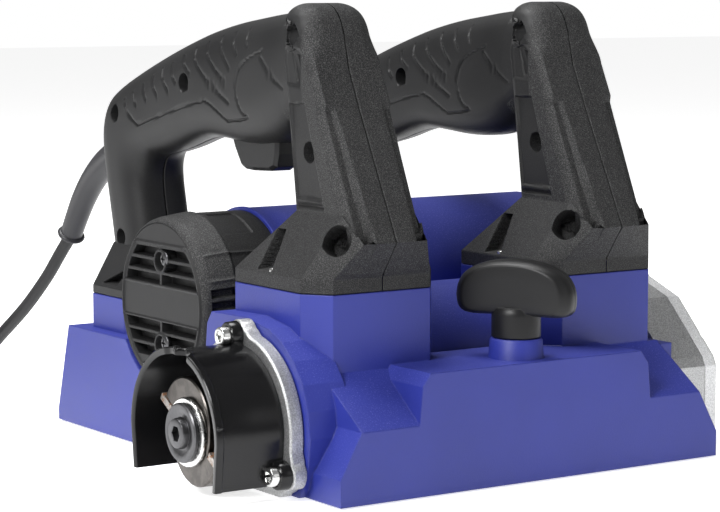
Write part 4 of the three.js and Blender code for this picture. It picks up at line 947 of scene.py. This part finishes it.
def guard_shape():
    """A half drum with a waved and thickened free edge, its back plate, its lug pads and mould nubs.

    The outline is two legs that lean out a little and a half circle between them. The profile carries
    it along the drum, over the free edge and back inside to the back plate.
    """
    y0, z0 = CUTTER
    theta = np.radians(np.linspace(0, 180, 150))
    arc = np.stack([np.cos(theta), np.sin(theta)], axis=1)
    legs = np.linspace(0, 1, 14)[:-1, None]
    degrees = np.concatenate([np.full(len(legs), -10.0), np.degrees(theta), np.full(len(legs), 190.0)])
    notch = (1 - smooth(np.abs(degrees - 101), 3.0, 9.0)) * 5.0
    notch += (1 - smooth(np.abs(degrees - 86), 2.0, 7.0)) * 1.6
    edge = GUARD_END + notch

    def outline(radius):
        height = GUARD_FOOT + (z0 - GUARD_FOOT) * legs
        right = np.concatenate([y0 + radius - 2.5 + 2.5 * legs, height], axis=1)
        left = np.concatenate([y0 - radius + 2.5 - 2.5 * legs, height], axis=1)[::-1]
        return np.concatenate([right, np.array([y0, z0]) + radius * arc, left])

    rows = []
    for kind, x, radius in GUARD_PROFILE:
        line = outline(radius)
        level = np.maximum(edge + x, GUARD_END) if kind else np.full(len(line), x)
        if not kind and x < -46:
            level = np.maximum(level, edge + 1.5)
        rows.append(np.concatenate([level[:, None], line], axis=1))
    shell = grid(np.stack(rows, axis=1))
    pads = [lathe(PAD_PROFILE, 48, "x", (0, *at_screw(angle)), False) for angle in GUARD_SCREWS.values()]
    nubs = [lathe(NUB_PROFILE, 12, "x", (0, *at_screw(angle, NUB_CIRCLE))) for angle in NUB_ANGLES]
    rib_y, rib_z = at_screw(GUARD_SCREWS["top"], 46.5)
    bridge = slab([(rib_y - 8, rib_z - 3), (rib_y + 8, rib_z - 3), (rib_y + 5.5, rib_z + 4),
                   (rib_y - 5.5, rib_z + 4)], -18.6, GUARD_BACK)
    lower = slab([(122.5, 9.2), (128.5, 9.6), (129.5, 20), (123.6, 26)], -18.0, GUARD_BACK)
    return joined(shell, *pads, *nubs, bridge, lower)


def cutter_head_shape():
    """Two cutting lobes: the radius falls from each tip in a spiral to the back of the next."""
    turns = np.linspace(0, 2 * np.pi, 200, endpoint=False)
    share = np.mod(turns - math.radians(TIP_ANGLE), np.pi) / np.pi
    reach = TIP_RADIUS - 11.5 * smooth(share, 0.10, 0.86) + 1.0 * smooth(share, 0.97, 1.0)
    layers = [(-19.2, -2.0), (-19.2, -0.6), (-19.8, 0.0), (-43.6, 0.0), (-44.4, -0.8), (-44.4, -2.4)]
    rows = rings([(x, reach + grow) for x, grow in layers], turns) + np.array([0, *CUTTER])
    return grid(rows, closed=True, ends=True)


def washer_shape():
    """A dished washer: a turned profile, open where the bolt fills it."""
    return lathe([(-44.6, 6.0), (-44.6, 18.4), (-45.2, 18.9), (-46.6, 18.9), (-47.6, 18.2), (-47.8, 16.5),
                  (-47.8, 6.0)], 96, "x", (0, *CUTTER))


def nut_shape():
    """A flanged bolt head: two turned steps and a hexagonal socket."""
    turns = np.linspace(0, 2 * np.pi, 96, endpoint=False)
    flat = hexagon(turns, 4.3)
    layers = [(-48.0, 15.4), (-48.6, 16.2), (-50.0, 16.2), (-50.8, 15.5), (-51.0, 14.0), (-50.4, 11.4),
              (-49.6, 9.6), (-49.7, 8.6), (-52.2, 8.3), (-53.2, 7.9), (-53.5, 7.1),
              (-53.5, flat + 0.4), (-53.2, flat), (-49.2, flat)]
    return grid(rings(layers, turns) + np.array([0, *CUTTER]), closed=True, ends=True)


# ---- Motor ----

CAP_CENTRE = (191.3, 87.7)
CAP_PLANE = 1.6
CAP_RADIUS = 46.8
VENT_ANGLES = (169.0, 177.5, 186.0)
LEDGE_ANGLES = (143.0, 161.0)
CAP_POINTS = 210
SLOT_LEVELS = (13.8, 21.4, 29.2)
SLOT_DEPTH = 7.0


def off_angle(grid_a, centre, radius=50.0):
    """The distance round a barrel from an angle, in millimetres."""
    return np.abs((grid_a - centre + 180) % 360 - 180) * math.radians(radius)


def motor_barrel_shape():
    """The black barrel: a coarse band that flares from the cap, then a cylinder with vents and a patch."""
    x = np.concatenate([[1.7, 2.6, 4.2], np.linspace(5.5, 54.7, 74)])
    angle = np.linspace(0, 2 * np.pi, 360, endpoint=False)
    grid_x, grid_a = np.meshgrid(x, np.degrees(angle), indexing="ij")
    flare = np.interp(x, [1.7, 2.6, 4.2, 7, 20.8, 21.6, 60], [46.9, 48.2, 49.3, 50.0, 51.0, 50.0, 50.0])
    share = np.interp(x, [1.7, 20], [0, 1])[:, None]
    radius = np.broadcast_to(flare[:, None], grid_x.shape).copy()
    for centre in VENT_ANGLES:
        across = 1 - smooth(off_angle(grid_a, centre), 1.9, 2.5)
        radius -= 5.0 * across * smooth(grid_x, 6.4, 7.2) * (1 - smooth(grid_x, 24.6, 25.4))
    patch = 1 - smooth(np.abs(grid_a - 112), 14, 14.8)
    radius -= 0.9 * patch * smooth(grid_x, 25, 25.7) * (1 - smooth(grid_x, 43, 43.7))
    for centre in LEDGE_ANGLES:
        radius += 1.0 * (1 - smooth(off_angle(grid_a, centre), 0.5, 1.1)) * smooth(grid_x, 5, 8)
    centre_y = CAP_CENTRE[0] + (MOTOR[0] - CAP_CENTRE[0]) * share
    centre_z = CAP_CENTRE[1] + (MOTOR[1] - CAP_CENTRE[1]) * share
    rows = np.stack([grid_x, centre_y + radius * np.cos(np.radians(grid_a)),
                     centre_z + radius * np.sin(np.radians(grid_a))], axis=-1)
    return grid(rows, closed=True)


def barrel_grain(points):
    """Coarse on the band behind the cap and finer on the barrel."""
    return np.where(points[:, 0] < 21.2, 1.0, 0.4)


def cap_face(places):
    """How far the end cap's face stands out at [n, 2] places, in millimetres: slots, ribs and bosses."""
    y, z = places[:, 0] - CAP_CENTRE[0], places[:, 1] - CAP_CENTRE[1]
    reach = np.hypot(y, z)
    field = smooth(42.6 - reach, 0, 0.5) * (z < 32.5)
    rise = np.zeros(len(places))
    for row in SLOT_LEVELS:
        for way in (1, -1):
            rise -= SLOT_DEPTH * (1 - smooth(np.abs(z - way * row), 2.5, 2.9)) * field
    rib = (1 - smooth(np.abs(y), 1.2, 1.6)) * (np.abs(z) > 10.4)
    rise = np.where(rib > 0, np.maximum(rise, -SLOT_DEPTH + SLOT_DEPTH * rib), rise)
    for way in (1, -1):
        boss = np.hypot(y, z - way * 24.5)
        rise = np.where(boss < 7.4, np.maximum(rise, 0) + 0.8 * smooth(7.4 - boss, 0, 0.5), rise)
        rise -= SLOT_DEPTH * (1 - smooth(boss, 5.0, 5.5))
    rise += 0.9 * (1 - smooth(np.abs(reach - 45.2), 0.5, 1.1)) * (z < 34.5)
    rise += 0.9 * (1 - smooth(np.abs(z - 34.3), 0.5, 1.1)) * (reach < 45.4)
    rise += 0.5 * (1 - smooth(np.abs(np.abs(z) - 10.2), 0.4, 0.9)) * (reach < 45.0)
    return rise


def cap_shape():
    """The end cap: a height over a square grid bent to a disc, and the short step round it."""
    side = np.linspace(-1, 1, CAP_POINTS)
    u, v = np.meshgrid(side, side, indexing="ij")
    y = u * np.sqrt(1 - v ** 2 / 2) * (CAP_RADIUS - 0.4)
    z = v * np.sqrt(1 - u ** 2 / 2) * (CAP_RADIUS - 0.4)
    places = np.stack([CAP_CENTRE[0] + y.ravel(), CAP_CENTRE[1] + z.ravel()], axis=1)
    x = CAP_PLANE - cap_face(places)
    face = grid(np.concatenate([x[:, None], places], axis=1).reshape(CAP_POINTS, CAP_POINTS, 3))
    step = lathe([(CAP_PLANE, CAP_RADIUS - 0.4), (CAP_PLANE + 0.3, CAP_RADIUS), (CAP_PLANE + 3, CAP_RADIUS)],
                 160, "x", (0, *CAP_CENTRE), closed=False)
    return joined(face, step)


# ---- Pieces ----

SENSOR_WIDTH = 36.0
FAR_CLIP = 50.0
LAMPS = {
    "key": ((-1.7, -0.6, 1.5), (0, 0, 0.12), 0.9),
    "top": ((-0.3, 0.5, 2.0), (0, 0, 0.1), 1.2),
    "front": ((0.6, -2.2, 0.9), (0, 0, 0.12), 1.2),
}
PAN_HEAD = {"radius": 4.2, "height": 2.6, "shank": 1.9}
COVER_PAN = {"radius": 4.3, "height": 2.6, "shank": 1.9}
BASE_PAN = {"radius": 4.0, "height": 2.8, "shank": 2.2, "lift": 1.6}
BASE_BOLT = {"radius": 5.2, "height": 5.0, "shank": 3.0}
SOCKET_HEAD = {"radius": 5.2, "height": 6.0, "shank": 2.9, "socket": 2.9, "depth": 3.2}
NODE_FINISHES = {
    "main_housing": blue_nylon, "front_sole": milled_metal, "rear_sole": milled_metal,
    "trigger": knob_black, "depth_screw": zinc, "switch_block": moulded_black,
    "belt_case": cast_metal, "belt_cover": painted_cover, "drive_belt": rubber_black,
    "cutter_pulley": dark_steel, "motor_pulley": dark_steel, "armature": iron, "stator": iron,
    "cooling_fan": moulded_black, "brush_carrier": brass, "motor_bearing_left": zinc,
    "motor_bearing_right": zinc, "cutter_bearing_left": zinc, "cutter_bearing_right": zinc,
    "cutter_drum": milled_metal, "drum_knife_upper": iron, "drum_knife_lower": iron,
    "side_knife_upper": rusty_steel, "side_knife_lower": rusty_steel,
}


def corners(node):
    """The lowest and highest corner of a frame node in millimetres from the machine's corner."""
    return [np.array(corner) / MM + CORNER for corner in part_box(node)]


def lamp(name, place, aim, size, power):
    """A round soft light that faces a point."""
    light = bpy.data.lights.new(name, "AREA")
    light.shape = "DISK"
    light.size = size
    light.energy = power
    holder = bpy.data.objects.new(name, light)
    holder.location = place
    holder.rotation_euler = (Vector(aim) - Vector(place)).to_track_quat("-Z", "Y").to_euler()
    bpy.context.scene.collection.objects.link(holder)


def studio(colour, strength):
    """A world whose walls are seen in full and light the machine more dimly."""
    world = bpy.data.worlds.new("studio")
    world.use_nodes = True
    tree = world.node_tree
    glow = tree.nodes["Background"]
    glow.inputs["Strength"].default_value = strength
    glow.inputs["Color"].default_value = (*colour, 1.0)
    seen = tree.nodes.new("ShaderNodeBackground")
    seen.inputs["Color"].default_value = (*colour, 1.0)
    share = tree.nodes.new("ShaderNodeMixShader")
    tree.links.new(tree.nodes.new("ShaderNodeLightPath").outputs["Is Camera Ray"], share.inputs[0])
    tree.links.new(glow.outputs[0], share.inputs[1])
    tree.links.new(seen.outputs[0], share.inputs[2])
    tree.links.new(share.outputs[0], tree.nodes["World Output"].inputs[0])
    return world


def screw(node, across, style, make):
    """A screw in place of a frame node: its head's face at the node's outer end, and its shank."""
    low, high = corners(node)
    middle = (low + high) / 2
    if across == "x":
        seat = (low[0] + style["height"], middle[1], middle[2])
        shank = [(0.0, style["shank"]), (high[0] - seat[0], style["shank"])]
    else:
        seat = (middle[0], middle[1], high[2] - style["height"] + style.get("lift", 0.0))
        shank = [(0.0, style["shank"]), (low[2] - seat[2], style["shank"])]
    if style.get("socket"):
        head = socket_head(seat, style["radius"], style["height"], style["socket"], style["depth"])
    else:
        head = cross_head(seat, style["radius"], style["height"], across)
    piece(node + "_turned", joined(head, lathe(shank, 24, across, seat)), make, replaces=[node],
          angle=38)


def cover_screw():
    """The belt cover's screw, whose head faces the other way along x."""
    low, high = corners("belt_cover_screw")
    height, shank = COVER_PAN["height"], COVER_PAN["shank"]
    seat = (high[0] - height, (low[1] + high[1]) / 2, (low[2] + high[2]) / 2)
    points, faces = cross_head((0, 0, 0), COVER_PAN["radius"], height, "x")
    turned = points * np.array([-1, 1, 1]) + np.array(seat)
    stem = lathe([(0.0, shank), (low[0] - seat[0], shank)], 24, "x", seat)
    piece("belt_cover_screw_turned", joined((turned, faces), stem), zinc, replaces=["belt_cover_screw"],
          angle=38)


# ---- Add-on ----

class PlanerSettings(bpy.types.PropertyGroup):
    """What a user would change about the view, the light, the floor, the cord and the plastics."""

    lens: bpy.props.FloatProperty(
        name="Lens", description="Focal length of the view", default=122.96, subtype="DISTANCE_CAMERA")
    camera_place: bpy.props.FloatVectorProperty(
        name="Camera place", description="Where the camera stands", default=(-0.81585, -1.2036665, 0.2735),
        unit="LENGTH")
    camera_turn: bpy.props.FloatVectorProperty(
        name="Camera turn", description="How the camera is turned",
        default=(math.radians(83.62), 0.0, math.radians(-33.98)), subtype="EULER")
    wall_colour: bpy.props.FloatVectorProperty(
        name="Wall colour", description="Colour of the studio's walls", default=(1.0, 1.0, 1.0),
        subtype="COLOR", min=0.0, max=1.0)
    wall_strength: bpy.props.FloatProperty(
        name="Wall light", description="How brightly the walls glow", default=0.25, min=0.0)
    floor_reach: bpy.props.FloatProperty(
        name="Floor reach", description="Half the floor's width", default=8.0, unit="LENGTH")
    key_power: bpy.props.FloatProperty(
        name="Key light", description="Power of the light at the left", default=46.0, unit="POWER")
    top_power: bpy.props.FloatProperty(
        name="Top light", description="Power of the light overhead", default=44.0, unit="POWER")
    front_power: bpy.props.FloatProperty(
        name="Front light", description="Power of the light in front", default=3.0, unit="POWER")
    cord_radius: bpy.props.FloatProperty(
        name="Cord radius", description="Half the cord's thickness", default=CORD_RADIUS * MM,
        precision=4, unit="LENGTH", min=0.002, max=0.0043)
    blue: bpy.props.FloatVectorProperty(
        name="Blue", description="Colour of the blue nylon", default=(0.023, 0.033, 0.25),
        subtype="COLOR", min=0.0, max=1.0)
    blue_deep: bpy.props.FloatVectorProperty(
        name="Deep blue", description="What the blue nylon drifts to", default=(0.018, 0.027, 0.215),
        subtype="COLOR", min=0.0, max=1.0)
    black: bpy.props.FloatVectorProperty(
        name="Black", description="Colour of the textured nylon", default=(0.013, 0.013, 0.0135),
        subtype="COLOR", min=0.0, max=1.0)
    black_deep: bpy.props.FloatVectorProperty(
        name="Deep black", description="What the textured nylon drifts to", default=(0.009, 0.009, 0.0095),
        subtype="COLOR", min=0.0, max=1.0)


class PLANER_OT_camera(bpy.types.Operator):
    """Sets up the view"""

    bl_idname = "planer.camera"
    bl_label = "Camera"

    def execute(self, context):
        settings = context.scene.planer
        camera = bpy.data.cameras.new("view")
        camera.lens = settings.lens
        camera.sensor_width = SENSOR_WIDTH
        camera.clip_end = FAR_CLIP
        holder = bpy.data.objects.new("view", camera)
        holder.location = settings.camera_place
        holder.rotation_euler = settings.camera_turn
        context.scene.collection.objects.link(holder)
        context.scene.camera = holder
        return {"FINISHED"}


class PLANER_OT_cord(bpy.types.Operator):
    """Makes the power cord, its sleeve, its tie and its plug"""

    bl_idname = "planer.cord"
    bl_label = "Cord"

    def execute(self, context):
        radius = round(context.scene.planer.cord_radius / MM, 3)
        path = placed(cord_path(radius))
        relief = piece("strain_relief_sleeve", relief_shape(), rubber_black, replaces=["strain_relief"],
                       angle=60)
        plug = piece("plug_body", plug_shape(), rubber_black, replaces=["mains_plug"],
                     angle=40)
        pins = piece("plug_pins", pin_shapes(), zinc, angle=40)
        tie = piece("coil_tie", tie_shape(radius), rubber_black, angle=60)
        cord = piece("power_cord", tube(path / MM + CORNER, radius, 20), cord_black,
                     replaces=["cord_run", "cord_coil"], angle=60)
        return {"FINISHED"}


class PLANER_OT_stage(bpy.types.Operator):
    """Makes the floor and the lights"""

    bl_idname = "planer.stage"
    bl_label = "Stage"

    def execute(self, context):
        scene, settings = context.scene, context.scene.planer
        scene.view_settings.view_transform = "Standard"
        scene.world = studio(settings.wall_colour, settings.wall_strength)
        reach = settings.floor_reach
        mesh = bpy.data.meshes.new("floor")
        mesh.from_pydata([(-reach, -reach, 0), (reach, -reach, 0), (reach, reach, 0), (-reach, reach, 0)],
                         [], [(0, 1, 2, 3)])
        floor = bpy.data.objects.new("floor", mesh)
        scene.collection.objects.link(floor)
        mesh.materials.append(finish(pale_floor))
        for name, (place, aim, size) in LAMPS.items():
            lamp(name, place, aim, size, getattr(settings, name + "_power"))
        return {"FINISHED"}


class PLANER_OT_handles(bpy.types.Operator):
    """Makes the clamshell halves of both handles"""

    bl_idname = "planer.handles"
    bl_label = "Handles"

    def execute(self, context):
        for side, x in HANDLES.items():
            for way, half in (("left", -1), ("right", 1)):
                node = side + "_handle_" + way + "_shell"
                piece(node + "_skin", handle_shell(x, half), grained_black, replaces=[node],
                      angle=34, paint=handle_grain)
        return {"FINISHED"}


class PLANER_OT_knob(bpy.types.Operator):
    """Makes the winged depth knob"""

    bl_idname = "planer.knob"
    bl_label = "Depth knob"

    def execute(self, context):
        piece("knob_grip", knob_shape(), knob_black, body="knob", replaces=["depth_knob"],
              angle=40)
        return {"FINISHED"}


class PLANER_OT_screws(bpy.types.Operator):
    """Makes every screw that shows"""

    bl_idname = "planer.screws"
    bl_label = "Screws"

    def execute(self, context):
        for side in HANDLES:
            for where in SCREWS:
                screw(side + "_handle_screw_" + where, "x", PAN_HEAD, dark_steel)
            screw(side + "_handle_base_bolt", "z", BASE_BOLT, dark_steel)
            screw(side + "_handle_base_screw", "z", BASE_PAN, zinc)
        for where in GUARD_SCREWS:
            screw("guard_screw_" + where, "x", SOCKET_HEAD, zinc)
        for where in ("upper", "lower"):
            screw("cap_screw_" + where, "x", PAN_HEAD, dark_steel)
        cover_screw()
        return {"FINISHED"}


class PLANER_OT_guard(bpy.types.Operator):
    """Makes the side guard and the flange behind it"""

    bl_idname = "planer.guard"
    bl_label = "Guard"

    def execute(self, context):
        piece("flange_plate", flange_shape(), cast_metal, replaces=["bearing_flange"],
              angle=40)
        piece("guard_drum", guard_shape(), guard_black, replaces=["side_guard"], angle=38)
        return {"FINISHED"}


class PLANER_OT_cutter(bpy.types.Operator):
    """Makes the side cutter's head, washer and bolt"""

    bl_idname = "planer.cutter"
    bl_label = "Side cutter"

    def execute(self, context):
        piece("side_head", cutter_head_shape(), cutter_steel, body="cutter", replaces=["side_cutter_head"],
              angle=35)
        piece("washer_ring", washer_shape(), washer_steel, body="cutter", replaces=["clamp_washer"],
              angle=40)
        piece("bolt_head", nut_shape(), dark_steel, body="cutter", replaces=["cutter_bolt"],
              angle=34)
        return {"FINISHED"}


class PLANER_OT_motor(bpy.types.Operator):
    """Makes the motor's black sleeve and end cap"""

    bl_idname = "planer.motor"
    bl_label = "Motor"

    def execute(self, context):
        piece("motor_sleeve", motor_barrel_shape(), grained_black, replaces=["motor_barrel"],
              angle=34, paint=barrel_grain)
        piece("motor_cap", cap_shape(), moulded_black, replaces=["motor_end_cap"],
              angle=30)
        return {"FINISHED"}


class PLANER_OT_housing(bpy.types.Operator):
    """Makes the rounded covers on the blue housing"""

    bl_idname = "planer.housing"
    bl_label = "Housing covers"

    def execute(self, context):
        piece("motor_cover_skin", barrel_skin(), blue_nylon, angle=30)
        piece("drum_cover_skin", arch_skin(), blue_nylon, angle=30)
        piece("knob_collar_skin", collar_skin(), blue_nylon, angle=30)
        return {"FINISHED"}


class PLANER_OT_finishes(bpy.types.Operator):
    """Gives the frame's own parts their finishes"""

    bl_idname = "planer.finishes"
    bl_label = "Finishes"

    def execute(self, context):
        for node, make in NODE_FINISHES.items():
            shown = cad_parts[node]
            if not shown.material_slots:
                raise RuntimeError(node + " has no material slot")
            for place in shown.material_slots:
                place.material = finish(make)
        return {"FINISHED"}


MAKERS = (
    PLANER_OT_camera, PLANER_OT_cord, PLANER_OT_stage, PLANER_OT_handles, PLANER_OT_knob, PLANER_OT_screws,
    PLANER_OT_guard, PLANER_OT_cutter, PLANER_OT_motor, PLANER_OT_housing, PLANER_OT_finishes,
)


class PLANER_PT_pieces(bpy.types.Panel):
    """Lists the planer's pieces"""

    bl_idname = "PLANER_PT_pieces"
    bl_label = "Timber planer"
    bl_space_type = "VIEW_3D"
    bl_region_type = "UI"
    bl_category = "Planer"

    def draw(self, context):
        settings = context.scene.planer
        for key in PlanerSettings.__annotations__:
            self.layout.prop(settings, key)
        for made in MAKERS:
            self.layout.operator(made.bl_idname)


CLASSES = (PlanerSettings, *MAKERS, PLANER_PT_pieces)


def register():
    for each in CLASSES:
        bpy.utils.register_class(each)
    bpy.types.Scene.planer = bpy.props.PointerProperty(type=PlanerSettings)


def unregister():
    del bpy.types.Scene.planer
    for each in reversed(CLASSES):
        bpy.utils.unregister_class(each)


def main():
    register()
    for made in MAKERS:
        getattr(bpy.ops.planer, made.bl_idname.split(".")[1])()
    bpy.context.view_layer.update()


if __name__ == "__main__":
    main()
